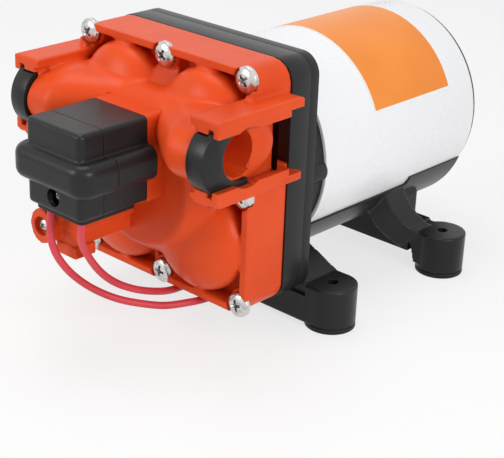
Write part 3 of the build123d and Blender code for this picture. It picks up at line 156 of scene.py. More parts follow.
# %% [markdown]
# ## Maths on a surface
#
# A finish is a small sum of patterns: grain, patches and worn edges. Blender writes such sums as
# nodes. The class below lets them be written with Python's own signs, and each sign adds one node.


# %% A value that varies over a surface
class Field:
    """A number that varies over a surface. Python's own signs on it add Math nodes."""

    def __init__(self, finish, socket):
        self.finish, self.socket = finish, socket

    def maths(self, operation, *values):
        inputs = dict(enumerate(values))
        node = self.finish.node("ShaderNodeMath", {"operation": operation}, inputs)
        return Field(self.finish, node.outputs[0])

    def __add__(self, other):
        return self.maths("ADD", self, other)

    def __sub__(self, other):
        return self.maths("SUBTRACT", self, other)

    def __rsub__(self, other):
        return self.maths("SUBTRACT", other, self)

    def __mul__(self, other):
        return self.maths("MULTIPLY", self, other)

    __radd__ = __add__
    __rmul__ = __mul__

    def between(self, low, high):
        """0 below low, 1 above high, and an even climb between."""
        settings = {"clamp": True}
        inputs = {"Value": self, "From Min": low, "From Max": high}
        node = self.finish.node("ShaderNodeMapRange", settings, inputs)
        return Field(self.finish, node.outputs["Result"])


class Finish:
    """A material with one Principled shader. Its methods add the nodes that feed it."""

    def __init__(self, name, **constants):
        self.material = bpy.data.materials.new(name)
        self.material.use_nodes = True
        self.tree = self.material.node_tree
        self.shader = self.tree.nodes["Principled BSDF"]
        for socket, value in constants.items():
            self.shader.inputs[socket.replace("_", " ")].default_value = value
        self.place = self.node("ShaderNodeTexCoord").outputs["Object"]

    def node(self, kind, settings=None, inputs=None):
        """A node of that kind, with its settings made and its sockets filled."""
        node = self.tree.nodes.new(kind)
        for name, value in (settings or {}).items():
            setattr(node, name, value)
        for name, value in (inputs or {}).items():
            value = value.socket if isinstance(value, Field) else value
            if isinstance(value, bpy.types.NodeSocket):
                self.tree.links.new(value, node.inputs[name])
            else:
                node.inputs[name].default_value = value
        return node

    def noise(self, spacing, detail=2.0, stretch=(1.0, 1.0, 1.0)):
        """Cloudy noise whose patches are about this far apart, in metres."""
        place = self.node("ShaderNodeMapping", None, {"Vector": self.place, "Scale": stretch})
        inputs = {"Vector": place.outputs[0], "Scale": 1.0 / spacing, "Detail": detail}
        return Field(self, self.node("ShaderNodeTexNoise", None, inputs).outputs[0])

    def edges(self, radius):
        """0 on a flat face, and more towards 1 within this distance of an edge."""
        rounded = self.node("ShaderNodeBevel", {"samples": 4}, {"Radius": radius})
        flat = self.node("ShaderNodeNewGeometry")
        inputs = {0: rounded.outputs[0], 1: flat.outputs["Normal"]}
        dot = self.node("ShaderNodeVectorMath", {"operation": "DOT_PRODUCT"}, inputs)
        return 1.0 - Field(self, dot.outputs["Value"])

    def mix(self, share, first, second):
        """The first colour where share is 0, and the second where it is 1."""
        node = self.node("ShaderNodeMix", {"data_type": "RGBA"}, {0: share})
        for index, colour in ((6, first), (7, second)):
            if isinstance(colour, bpy.types.NodeSocket):
                self.tree.links.new(colour, node.inputs[index])
            else:
                node.inputs[index].default_value = (*colour, 1.0)
        return node.outputs[2]

    def feed(self, name, value):
        """Joins a field or a node's output to one of the shader's sockets."""
        value = value.socket if isinstance(value, Field) else value
        self.tree.links.new(value, self.shader.inputs[name])

    def bump(self, height, depth, soft_edge=0.0):
        """A relief of this depth in metres, over edges that are softened by soft_edge."""
        inputs = {"Height": height, "Distance": depth}
        if soft_edge:
            rounded = self.node("ShaderNodeBevel", {"samples": 6}, {"Radius": soft_edge})
            inputs["Normal"] = rounded.outputs[0]
        self.feed("Normal", self.node("ShaderNodeBump", None, inputs).outputs[0])


print("Field and Finish are ready")

# %% [markdown]
# ## Moulded plastic
#
# Moulded plastic is never one flat colour. Its skin has a fine grain from the spark-worn mould,
# the colour drifts a little as the melt flowed, and edges that hands and screwdrivers touch turn
# lighter and smoother. One recipe with three colours and three numbers gives the orange, both
# blacks, and later the painted casting, the ferrite and the leads' silicone.


# %% Plastic finishes
def moulded(name, deep, plain, worn, roughness, grain_depth, soft_edge, **constants):
    """Moulded plastic: drifting colour, fine grain, and lighter, smoother edges."""
    finish = Finish(name, **constants)
    drift = finish.noise(spacing=0.022, detail=3.0).between(0.3, 0.7)
    grain = finish.noise(spacing=0.0009)
    scuffs = finish.noise(spacing=0.006, detail=4.0).between(0.55, 0.8)
    touched = finish.noise(spacing=0.004).between(0.35, 0.65)
    wear = finish.edges(radius=0.0006).between(0.02, 0.35) * touched
    base = finish.mix(drift, deep, plain)
    finish.feed("Base Color", finish.mix(wear, base, worn))
    finish.feed("Roughness", roughness + 0.08 * grain + 0.05 * scuffs - 0.1 * wear)
    finish.bump(grain + 0.3 * scuffs, grain_depth, soft_edge)
    return finish.material


orange_plastic = moulded(
    "orange_moulding", deep=(0.66, 0.062, 0.010), plain=(0.74, 0.078, 0.013),
    worn=(0.82, 0.16, 0.045), roughness=0.32, grain_depth=0.00003, soft_edge=0.0004,
    Specular_IOR_Level=0.18)
black_plastic = moulded(
    "black_moulding", deep=(0.012, 0.0125, 0.0132), plain=(0.017, 0.0175, 0.0185),
    worn=(0.05, 0.05, 0.052), roughness=0.27, grain_depth=0.00003, soft_edge=0.0003,
    Specular_IOR_Level=0.22)
black_rubber = moulded(
    "black_rubber_skin", deep=(0.008, 0.008, 0.009), plain=(0.013, 0.013, 0.014),
    worn=(0.03, 0.03, 0.03), roughness=0.45, grain_depth=0.00004, soft_edge=0.0003,
    Specular_IOR_Level=0.22)
print("Plastics:", orange_plastic.name, black_plastic.name, black_rubber.name)

# %% [markdown]
# ## The sleeve and its label
#
# The motor's sleeve is a glossy white film shrunk over the can, so it has almost no grain but a
# faint orange-peel ripple. The label on top is a printed sheet with a plain white border.


# %% Sleeve and label finishes
def white_film():
    """Glossy shrink film with a faint ripple and a little grey dust."""
    finish = Finish("white_film", Specular_IOR_Level=0.4)
    ripple = finish.noise(spacing=0.012, detail=1.0)
    dust = finish.noise(spacing=0.0015).between(0.3, 0.7)
    finish.feed("Base Color", finish.mix(dust, (0.83, 0.835, 0.85), (0.82, 0.825, 0.84)))
    finish.feed("Roughness", 0.24 + 0.05 * ripple + 0.05 * dust)
    finish.bump(ripple, depth=0.00001)
    return finish.material


label_half_angle, label_middle_y, label_half_length = math.radians(68.0), 0.02525, 0.02625
motor_axis_z = 0.063


def printed_sheet():
    """A printed sheet round the sleeve, with a thin white border along its edges."""
    finish = Finish("printed_sheet", Specular_IOR_Level=0.35)
    parts = finish.node("ShaderNodeSeparateXYZ", None, {"Vector": finish.place})
    x, y, z = (Field(finish, parts.outputs[axis]) for axis in range(3))
    angle = x.maths("ARCTAN2", x, z - motor_axis_z)
    from_side = label_half_angle - angle.maths("ABSOLUTE", angle)
    from_middle = y - label_middle_y
    from_end = label_half_length - from_middle.maths("ABSOLUTE", from_middle)
    inside = from_side.between(0.012, 0.016) * from_end.between(0.0005, 0.0007)
    drift = finish.noise(spacing=0.03).between(0.35, 0.65)
    ink = finish.mix(drift, (0.79, 0.235, 0.03), (0.84, 0.262, 0.036))
    finish.feed("Base Color", finish.mix(inside, (0.86, 0.84, 0.82), ink))
    fibres = finish.noise(spacing=0.0008)
    finish.feed("Roughness", 0.32 + 0.08 * fibres)
    finish.bump(fibres, depth=0.00001)
    return finish.material


white_sleeve = white_film()
orange_label = printed_sheet()
print("Film and sheet:", white_sleeve.name, orange_label.name)

# %% [markdown]
# ## Metals, copper, ferrite and the leads' skin
#
# Screws are plated and bright with fine turning marks. Their darker patches are painted reflection
# of the dark parts round them, as well as dull plating. The flange is a painted casting with a
# coarse skin. The leads are soft silicone, so they are matt with a slight bloom.


# %% Metal finishes
def plated(name, dull_and_painted_reflection, bright, roughness, mark_spacing):
    """Bright metal with fine marks, and darker patches of dull plating and painted dark
    reflection.
    """
    finish = Finish(name, Metallic=1.0)
    marks = finish.noise(mark_spacing, stretch=(1.0, 1.0, 6.0))
    # painted reflection: the darker patches stand in for dark parts the metal would reflect,
    # besides dull plating
    dull_and_reflection_patches = finish.noise(spacing=0.003, detail=4.0).between(0.45, 0.75)
    finish.feed("Base Color", finish.mix(dull_and_reflection_patches, bright, dull_and_painted_reflection))
    finish.feed("Roughness", roughness + 0.12 * marks + 0.15 * dull_and_reflection_patches)
    finish.bump(marks, depth=0.00001, soft_edge=0.0002)
    return finish.material


chrome_screw = plated(
    "plated_screw", dull_and_painted_reflection=(0.3, 0.3, 0.31), bright=(0.66, 0.65, 0.64),
    roughness=0.12, mark_spacing=0.0004)
steel = plated(
    "turned_steel", dull_and_painted_reflection=(0.36, 0.36, 0.37), bright=(0.6, 0.6, 0.61),
    roughness=0.28, mark_spacing=0.0005)
copper = plated(
    "enamelled_copper", dull_and_painted_reflection=(0.5, 0.2, 0.08), bright=(0.75, 0.36, 0.18),
    roughness=0.3, mark_spacing=0.0006)
brass_contact = plated(
    "plain_brass", dull_and_painted_reflection=(0.5, 0.36, 0.14), bright=(0.76, 0.58, 0.25),
    roughness=0.3, mark_spacing=0.0005)
grey_metal = moulded(
    "painted_casting", deep=(0.012, 0.013, 0.014), plain=(0.02, 0.021, 0.022),
    worn=(0.07, 0.07, 0.072), roughness=0.4, grain_depth=0.00008, soft_edge=0.0004,
    Specular_IOR_Level=0.25)
ferrite = moulded(
    "sintered_ferrite", deep=(0.08, 0.08, 0.085), plain=(0.13, 0.13, 0.135),
    worn=(0.2, 0.2, 0.2), roughness=0.6, grain_depth=0.00006, soft_edge=0.0003)
red_lead = moulded(
    "silicone_skin", deep=(0.58, 0.035, 0.05), plain=(0.68, 0.055, 0.075),
    worn=(0.75, 0.12, 0.14), roughness=0.45, grain_depth=0.00002, soft_edge=0.0,
    Specular_IOR_Level=0.4, Sheen_Weight=0.1)
finishes = {
    "orange_plastic": orange_plastic, "black_plastic": black_plastic,
    "black_rubber": black_rubber, "white_sleeve": white_sleeve, "orange_label": orange_label,
    "chrome_screw": chrome_screw, "steel": steel, "copper": copper,
    "brass_contact": brass_contact, "grey_metal": grey_metal, "ferrite": ferrite,
    "red_lead": red_lead,
}
print("Finishes:", len(finishes))

# %% [markdown]
# ## Dress the solids
#
# Every solid of the frame takes the finish of its material slot, so that the works inside look
# right too when a cover is taken away.

# %% Give each solid its finish
for slot_name, material in finishes.items():
    material["slot"] = slot_name
solid_slots = {}
for name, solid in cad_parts.items():
    packed = solid.data.materials[0].name if solid.data.materials else "black_plastic"
    solid_slots[name] = next((s for s in finishes if packed.startswith(s)), "black_plastic")
    if not solid.data.materials:
        solid.data.materials.append(None)
    for place in solid.material_slots:
        place.material = finishes[solid_slots[name]]
for lead in leads:
    lead.data.materials.append(red_lead)
print("Solids dressed:", len(solid_slots), sorted(set(solid_slots.values())))

# %% [markdown]
# ## Tools for the mesh work
#
# New pieces start as primitives, added at their size and place, then shaped in edit mode and
# with modifiers that are applied at once. Sizes are easier to read in millimetres, so these
# helpers take millimetres and make metres. Everything is deselected first, because an operator
# acts on all that is selected.

# %% Primitives at their size and place
mm = 0.001


def settle(name):
    """Names the newest primitive and puts its place into its mesh."""
    piece = bpy.context.object
    piece.name = piece.data.name = name
    bpy.ops.object.transform_apply(location=True, rotation=True, scale=True)
    return piece


def block(x, y, z, name="block"):
    """A box between two X, two Y and two Z."""
    low, high = Vector((x[0], y[0], z[0])) * mm, Vector((x[1], y[1], z[1])) * mm
    bpy.ops.object.select_all(action="DESELECT")
    bpy.ops.mesh.primitive_cube_add(size=1.0, location=(low + high) / 2, scale=high - low)
    return settle(name)


def drum(start, direction, length, radius, far_radius=None, sides=72):
    """A round bar or cone from a point along a direction."""
    start, direction = Vector(start) * mm, Vector(direction).normalized()
    far = radius if far_radius is None else far_radius
    bpy.ops.object.select_all(action="DESELECT")
    bpy.ops.mesh.primitive_cone_add(
        vertices=sides, radius1=radius * mm, radius2=far * mm, depth=length * mm,
        location=start + direction * length * mm / 2,
        rotation=direction.to_track_quat("Z", "Y").to_euler())
    return settle("drum")


def egg(middle, half_sizes):
    """A smooth dome form with three half sizes."""
    bpy.ops.object.select_all(action="DESELECT")
    bpy.ops.mesh.primitive_uv_sphere_add(
        segments=48, ring_count=24, radius=1.0, location=Vector(middle) * mm,
        scale=Vector(half_sizes) * mm)
    return settle("egg")


print("Primitives are ready")

# %% Joining, cutting and softening


def change(piece, kind, **settings):
    """Adds a modifier, sets it and applies it."""
    only(piece)
    modifier = piece.modifiers.new(kind.lower(), kind)
    for name, value in settings.items():
        setattr(modifier, name, value)
    bpy.ops.object.modifier_apply(modifier=modifier.name)
    return piece


def join(name, *pieces):
    """Several pieces as one object."""
    bpy.ops.object.select_all(action="DESELECT")
    for piece in pieces:
        piece.select_set(True)
    bpy.context.view_layer.objects.active = pieces[0]
    bpy.ops.object.join()
    pieces[0].name = pieces[0].data.name = name
    return pieces[0]


def unite(first, *others):
    """Several small forms as one clean solid."""
    for other in others:
        change(first, "BOOLEAN", operation="UNION", object=other, solver="EXACT")
        bpy.data.objects.remove(other)
    return first


def cut(piece, *tools):
    """Takes the tools away from the piece."""
    tool = unite(*tools)
    change(piece, "BOOLEAN", operation="DIFFERENCE", object=tool, solver="EXACT")
    bpy.data.objects.remove(tool)
    return piece


def mould(piece, grain, rounds):
    """Melts overlapping forms into one skin and rounds its edges, as a mould does."""
    change(piece, "REMESH", mode="VOXEL", voxel_size=grain * mm)
    change(piece, "SMOOTH", factor=0.5, iterations=rounds)
    return piece


def pick_edges(piece, wanted):
    """Selects the edges whose two ends, in mm, pass a test."""
    mesh = piece.data
    for part in (mesh.vertices, mesh.edges, mesh.polygons):
        part.foreach_set("select", [False] * len(part))
    for edge in mesh.edges:
        first, second = (mesh.vertices[i].co / mm for i in edge.vertices)
        edge.select = wanted(first, second)


def round_along(piece, axis, width, segments=8, wanted=None):
    """Rounds the straight edges that run along one axis (0 is X, 1 is Y, 2 is Z)."""
    def along(first, second):
        run = second - first
        straight = abs(run[axis]) > 0.999 * run.length
        return straight and (wanted is None or wanted((first + second) / 2))
    pick_edges(piece, along)
    only(piece)
    bpy.context.tool_settings.mesh_select_mode = (False, True, False)
    bpy.ops.object.mode_set(mode="EDIT")
    bpy.ops.mesh.bevel(offset=width * mm, segments=segments, affect="EDGES")
    bpy.ops.object.mode_set(mode="OBJECT")
    return piece


def wear_edges(piece, width, segments=3, angle=35.0):
    """A small round on every sharp edge."""
    return change(piece, "BEVEL", width=width * mm, segments=segments, limit_method="ANGLE",
                  angle_limit=math.radians(angle))


def shift(piece, wanted, move=(0, 0, 0), scale=(1, 1, 1), centre=(0, 0, 0)):
    """Resizes about a centre and then moves the points that pass a test, all in mm."""
    mesh = piece.data
    for part in (mesh.polygons, mesh.edges):
        part.foreach_set("select", [False] * len(part))
    for vertex in mesh.vertices:
        vertex.select = wanted(vertex.co / mm)
    only(piece)
    bpy.context.tool_settings.mesh_select_mode = (True, False, False)
    bpy.ops.object.mode_set(mode="EDIT")
    if scale != (1, 1, 1):
        bpy.ops.transform.resize(value=scale, center_override=Vector(centre) * mm)
    bpy.ops.transform.translate(value=Vector(move) * mm)
    bpy.ops.object.mode_set(mode="OBJECT")
    return piece


def thin(piece, most_faces):
    """Merges small faces where a piece has more than it needs."""
    if len(piece.data.polygons) > most_faces:
        change(piece, "DECIMATE", ratio=most_faces / len(piece.data.polygons))
    return piece


def present(piece, body, slot_name, *nodes, angle=40.0):
    """Shades the finished piece, gives it its finish, ties it to its body and hides its solids."""
    only(piece)
    bpy.ops.object.shade_smooth_by_angle(angle=math.radians(angle))
    piece.data.materials.clear()
    piece.data.materials.append(finishes[slot_name])
    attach(piece, body)
    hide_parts(*nodes)
    print(piece.name, len(piece.data.polygons), "faces")
    return piece


# %% [markdown]
# ## The pump head
#
# The head is one deep moulding: a square tray with a rim, a round disc and four domes over the
# valves, and a thick bridge that flares into the two ports. Its forms melt into each other, so
# the soft forms are laid over each other first and melted into one skin with a voxel remesh.
# The rim, ribs and rails join them after, and a second, finer melt rounds every edge a little.

# %% Soft forms of the head
rim_y, floor_y, head_back_y = -84.0, -75.5, -62.5
head_mid_z, motor_z = 65.5, 63.0
disc_y, disc_depth, disc_radius = -90.0, 16.0, 33.0
slope_depth, slope_radius = 7.0, 28.0
port_y, port_z = -94.0, 87.8
bore_radius, boss_radius, boss_start, boss_length = 9.0, 20.0, 33.0, 17.5
bridge_y, bridge_radius, bridge_end = -87.0, 11.8, 12.0
across_x, toward_back, up = (1, 0, 0), (0, 1, 0), (0, 0, 1)
squeezed, flatter, still = (1.0, 1.0, 0.68), (1.0, 1.0, 0.62), (0, 0, 0)
domes = [((22.5, -81.5, 90.5), (20.5, 12.0, 20.5)), ((21.5, -82.0, 42.5), (22.5, 11.5, 22.0))]

soft_forms = [
    drum((0, disc_y, head_mid_z), toward_back, disc_depth, disc_radius, sides=96),
    drum((0, disc_y - slope_depth, head_mid_z), toward_back, slope_depth,
         slope_radius, disc_radius, sides=96),
    drum((-bridge_end, bridge_y, port_z), across_x, 2 * bridge_end, bridge_radius),
]
for side in (-1, 1):
    outward = (side, 0, 0)
    cone = drum((side * bridge_end, bridge_y, port_z), outward, boss_start - bridge_end,
                bridge_radius, boss_radius)
    shift(cone, lambda place: abs(place.x) > bridge_end + 1, (0, port_y - bridge_y, 0),
          squeezed, (0, bridge_y, port_z))
    boss = drum((side * boss_start, port_y, port_z), outward, boss_length, boss_radius)
    boss_middle = (0, port_y, port_z)
    shift(boss, lambda place: abs(place.x) < boss_start + 1, still, squeezed, boss_middle)
    shift(boss, lambda place: abs(place.x) > boss_start + 1, still, flatter, boss_middle)
    soft_forms += [
        *[egg((side * x, y, z), half_sizes) for (x, y, z), half_sizes in domes],
        cone, boss,
    ]
head = join("pump_head_moulding", *soft_forms)
mould(head, grain=1.15, rounds=4)
print("Soft forms:", len(head.data.polygons), "faces")

# %% Rim, ribs, screw bosses and rails of the head
half_width, half_height, corner = 47.1, 49.3, 8.5
rim_width, hidden = 3.2, 1.0
screw_half_pitch_x, screw_half_pitch_z = 42.5, 45.3
screw_places = [(column * screw_half_pitch_x, head_mid_z + row * screw_half_pitch_z)
                for column in (-1, 0, 1) for row in (-1, 0, 1) if column or row]


def outline(y, inset=0.0, name="outline"):
    """The square outline of the head with its round corners."""
    piece = block(
        (-half_width + inset, half_width - inset), y,
        (head_mid_z - half_height + inset, head_mid_z + half_height - inset), name)
    return round_along(piece, 1, corner - inset)


def beside(side, near, far, middle=0.0):
    """Two places on one side of a middle, the lower one first."""
    return sorted((middle + side * near, middle + side * far))


screw_boss_y, screw_boss_length, screw_boss_radius = rim_y + 3.0, 7.0, 6.0
tray = cut(outline((rim_y, head_back_y)), outline((rim_y - 5.0, floor_y), rim_width))
bosses = join("bosses", *[
    drum((x, screw_boss_y, z), toward_back, screw_boss_length, screw_boss_radius, sides=48)
    for x, z in screw_places])
limit = outline((rim_y, head_back_y), 0.1)
change(bosses, "BOOLEAN", operation="INTERSECT", object=limit, solver="EXACT", use_self=True)
bpy.data.objects.remove(limit)
hard_forms = [tray, bosses]
rib_front, rib_back, half_rib = rim_y + 1.2, floor_y + hidden, 1.0
upper_rib_x, lower_rib_x, short_rib_x, side_rib_z = 22.5, 21.0, 7.0, 42.5
upper_rib_span, lower_rib_span, short_rib_span = (98.0, 113.4), (17.8, 36.0), (17.8, 30.0)
side_rib_near, side_rib_far = 30.0, 45.6
for side in (-1, 1):
    upper_x, lower_x, short_x = side * upper_rib_x, side * lower_rib_x, side * short_rib_x
    hard_forms += [
        block((upper_x - half_rib, upper_x + half_rib), (rim_y, rib_back), upper_rib_span),
        block((lower_x - half_rib, lower_x + half_rib), (rib_front, rib_back), lower_rib_span),
        block(beside(side, side_rib_near, side_rib_far), (rib_front, rib_back),
              (side_rib_z - half_rib, side_rib_z + half_rib)),
        block((short_x, short_x + 2 * half_rib), (rib_front + 3, rib_back), short_rib_span),
    ]
wedge_half, wedge_front, wedge_low, wedge_high, wedge_slope = 7.5, -88.0, 94.0, 108.0, 9.5
wedge_taper = (0.7, 1.0, 1.0)
wedge = block((-wedge_half, wedge_half), (wedge_front, rib_back), (wedge_low, wedge_high), "wedge")
shift(wedge, lambda place: place.z > wedge_low + 1 and place.y < floor_y,
      (0, wedge_slope, 0), wedge_taper)
hard_forms.append(wedge)
rail_front, rail_back, rail_outside = -110.0, -64.5, 16.3
rail_inside, lip_inside, head_side = 12.8, 10.1, 56.0
rail_root, lip_root, bearer_root, bearer_end = 42.0, 53.0, 44.0, 50.5
rails = []
for side in (-1, 1):
    for end in (-1, 1):
        lip_z = beside(end, lip_inside, rail_outside, port_z)
        rail = block(beside(side, rail_root, head_side), (rail_front, rail_back),
                     beside(end, rail_inside, rail_outside, port_z))
        round_along(rail, 0, 1.6, segments=4, wanted=lambda middle: middle.y > rail_back - 1)
        lip = block(beside(side, lip_root, head_side), (rail_front, rail_back), lip_z)
        if end < 0:
            for part in (rail, lip):
                round_along(part, 0, 2.6, segments=5, wanted=lambda middle: (
                    middle.y < rail_front + 1 and middle.z < port_z - rail_outside + 0.3))
        bearer = block(beside(side, bearer_root, bearer_end), (rail_front, port_y), lip_z)
        rails += [rail, lip, bearer]
head = join("pump_head_moulding", head, *hard_forms, *rails)
print("Joined forms:", len(head.data.polygons), "faces")

# %% Bores, slots and seats of the head
far_front, far_side = -160.0, 30.0
chamber_y, chamber_radius = -71.0, 37.0
base_half, base_pocket_span = 15.2, (60.4, 95.4)
switch_z, switch_well_radius = 67.4, 9.0
screw_seat_radius, port_collar_radius, port_mouth_radius = 5.4, 11.2, 11.5
clip_slot_span, clip_step_span = (75.0, 100.6), (76.8, 98.8)
slot_front, slot_back = -125.0, -60.0
cutters = [
    drum((0, chamber_y, motor_z), toward_back, 12.0, chamber_radius, sides=96),
    block((-base_half, base_half), (far_front, disc_y - slope_depth), base_pocket_span),
    drum((0, -100.0, switch_z), toward_back, 40.0, switch_well_radius),
]
for x, z in screw_places:
    cutters.append(drum((x, rim_y - 2.0, z), toward_back, 5.0, screw_seat_radius, sides=40))
for side in (-1, 1):
    outward = (side, 0, 0)
    step = block(beside(side, 44.0, 50.6), (-118.0, -98.4), clip_step_span)
    cut(step, drum((side * 40.0, port_y, port_z), outward, 16.0, port_collar_radius))
    cutters += [
        step,
        block(beside(side, bearer_end, lip_root), (slot_front, slot_back), clip_slot_span),
        drum((side * 52.9, port_y, port_z), outward, 6.0, port_mouth_radius),
        block(beside(side, 40.0, 58.0), (-72.0, slot_back), clip_slot_span),
        drum((side * 28.5, port_y, port_z), outward, 30.0, bore_radius),
    ]
mould(head, grain=0.7, rounds=1)
cut(head, *cutters)
change(head, "SMOOTH", factor=0.4, iterations=1)
thin(head, most_faces=95000)
present(head, "pump_body", "orange_plastic", "pump_head", angle=60.0)

# %% [markdown]
# ## Screws
#
# A pan-head screw is a turned part, so its half profile is spun once round its axis. The cross
# that the screwdriver fits is pressed in with tapered wings. One screw is made and copied to the
# eight places, each turned by a different angle, because real screws never stop alike.


# %% A turned part and a cross
def turned(name, profile, steps=48):
    """Draws a half profile of (radius, y) points in mm and spins it once round the Y axis."""
    points = [Vector((radius, y, 0.0)) * mm for radius, y in profile]
    bpy.ops.object.select_all(action="DESELECT")
    bpy.ops.mesh.primitive_plane_add(size=mm, location=points[0])
    piece = settle(name)
    bpy.context.tool_settings.mesh_select_mode = (True, False, False)
    bpy.ops.object.mode_set(mode="EDIT")
    bpy.ops.mesh.select_all(action="SELECT")
    bpy.ops.mesh.merge(type="CENTER")
    for start, end in zip(points, points[1:]):
        bpy.ops.mesh.extrude_vertices_move(TRANSFORM_OT_translate={"value": end - start})
    bpy.ops.mesh.select_all(action="SELECT")
    bpy.ops.mesh.spin(steps=steps, angle=math.tau, center=(0, 0, 0), axis=(0, 1, 0))
    bpy.ops.object.mode_set(mode="OBJECT")
    return mend(piece)


def cross_screw(name, radius, height, stem_radius, length, wing, depth):
    """A pan-head screw with its face towards -Y, its seat at y = height."""
    screw = turned(name, [
        (0.0, -0.25), (radius * 0.4, -0.12), (radius * 0.7, 0.25), (radius * 0.9, 0.8),
        (radius, 1.5), (radius, height - 0.2), (radius - 0.2, height), (stem_radius, height),
        (stem_radius, length - 1.0), (stem_radius - 0.8, length), (0.0, length)])
    half = wing / 2
    span = radius * 0.56
    narrow = (0.5, 1.0, 0.5)
    wings = [
        block((-half, half), (-1.0, depth), (-span, span)),
        block((-span, span), (-1.0, depth), (-half, half)),
        drum((0, -1.0, 0), toward_back, depth + 1.6, wing * 1.05, 0.3, sides=16),
    ]
    for part in wings[:2]:
        shift(part, lambda place: place.y > 0, still, narrow)
    return cut(screw, *wings)


def copy_at(piece, place, turn=0.0, name="copy"):
    """A copy with its own mesh, turned about Y and moved to a place in mm."""
    twin = bpy.data.objects.new(name, piece.data.copy())
    bpy.context.scene.collection.objects.link(twin)
    moved = Matrix.Translation(Vector(place) * mm) @ Matrix.Rotation(turn, 4, "Y")
    twin.data.transform(moved)
    return twin


# %% Eight head screws and the small screws
turns = [0.3, -0.5, 0.75, 0.1, 0.55, -0.25, 0.9, -0.7]
pattern = cross_screw("screw_pattern", radius=5.15, height=3.1, stem_radius=2.1,
                      length=35.0, wing=1.35, depth=2.3)
head_screws = join("cross_head_screws", *[
    copy_at(pattern, (x, rim_y - 0.1, z), turn) for (x, z), turn in zip(screw_places, turns)])
bpy.data.objects.remove(pattern)
present(head_screws, "pump_body", "chrome_screw", "head_screws", angle=35.0)

small = cross_screw("small_screw_pattern", radius=2.9, height=2.0, stem_radius=1.5,
                    length=9.0, wing=0.9, depth=1.2)
lug_x, lug_z, hidden_screw_x, hidden_screw_z = -15.0, 49.5, 12.0, 82.0
lug_screw_y, hidden_screw_y, adjuster_y = -131.2, -106.6, -135.4
base_screws = join("switch_fixing_screws",
                   copy_at(small, (lug_x, lug_screw_y, lug_z), 0.6),
                   copy_at(small, (-hidden_screw_x, hidden_screw_y, hidden_screw_z), 0.2),
                   copy_at(small, (hidden_screw_x, hidden_screw_y, hidden_screw_z), -0.4))
present(base_screws, "pump_body", "chrome_screw", "switch_base_screws", angle=35.0)
adjuster = copy_at(small, (0.0, adjuster_y, switch_z), 0.9, "adjusting_screw_turned")
present(adjuster, "adjusting_screw", "chrome_screw", "adjusting_screw", angle=35.0)
bpy.data.objects.remove(small)

# %% [markdown]
# ## The switch box
#
# The box is moulded in two halves that meet in a seam, with a thick roll round its middle. Boxes
# with wide bevels give the halves their soft edges. The body and the roll are melted together,
# hollowed, and parted along the seam, which steps back where it crosses the roll.

# %% Body and roll of the box
box_front, box_rear, seam_y, roll_seam_y = -137.9, -105.4, -127.0, -124.6
box_half, box_low, box_high, box_wall = 15.3, 61.5, 95.1, 2.0
roll_front, roll_half, roll_low, roll_high = -142.0, 20.8, 71.4, 84.8
window_back, window_radius, seam_gap, open_low = -134.0, 3.5, 0.32, 50.0
box_body = block((-box_half, box_half), (box_front, box_rear + 6.0), (box_low, box_high))
round_along(box_body, 2, 2.4, segments=6)
wear_edges(box_body, 1.7, segments=4, angle=60.0)
roll = block((-roll_half, roll_half), (roll_front, box_rear + 10.0), (roll_low, roll_high))
round_along(roll, 2, 7.0, segments=8)
wear_edges(roll, 4.1, segments=6, angle=60.0)
box = join("switch_box", box_body, roll)
mould(box, grain=0.45, rounds=2)
inner_half = box_half - box_wall
cut(box,
    block((-far_side, far_side), (box_rear, box_rear + 20.0), (open_low, 110.0)),
    block((-inner_half, inner_half), (box_front + box_wall, box_rear + 5.0),
          (open_low, box_high - box_wall)),
    drum((0, far_front, switch_z), toward_back, window_back - far_front, window_radius,
         sides=48))


# %% Two halves with a seam
def half_of(box, name, gap, keep):
    """The front or rear half of the box, parted along the stepped seam."""
    half = copy_at(box, still, name=name)
    front_space = unite(
        block((-far_side, far_side), (far_front, seam_y + gap), (40.0, 120.0)),
        block((-far_side, far_side), (far_front, roll_seam_y + gap),
              (roll_low + 0.2, roll_high - 0.2)))
    change(half, "BOOLEAN", operation=keep, object=front_space, solver="EXACT")
    bpy.data.objects.remove(front_space)
    return half


front_half = half_of(box, "switch_box_front", 0.0, "INTERSECT")
rear_half = half_of(box, "switch_box_rear", seam_gap, "DIFFERENCE")
bpy.data.objects.remove(box)
for half, node in ((front_half, "switch_cover_front"), (rear_half, "switch_cover_rear")):
    thin(half, most_faces=45000)
    present(half, "pump_body", "black_plastic", node, angle=50.0)

# %% [markdown]
# ## The seal and the orange base of the switch
#
# Under the box a soft seal closes it round the two leads. The orange base behind it carries an
# arm with a lug, and the lug's screw sits in a counterbore. The base is made like the head.

# %% Seal under the box
seal_half, seal_front, neck_front, seal_low, seal_high = 13.2, -135.9, -108.5, 59.4, 61.8
seal = block((-seal_half, seal_half), (seal_front, neck_front), (seal_low, seal_high),
             "cable_seal_moulding")
round_along(seal, 2, 2.6, segments=6)
wear_edges(seal, 0.5, angle=60.0)
lead_x, lead_y, lead_hole_radius = 8.6, -132.0, 1.55
for x in (-lead_x, lead_x):
    cut(seal, drum((x, lead_y, 58.0), up, 8.0, lead_hole_radius, sides=32))
present(seal, "pump_body", "black_rubber", "cable_seal")

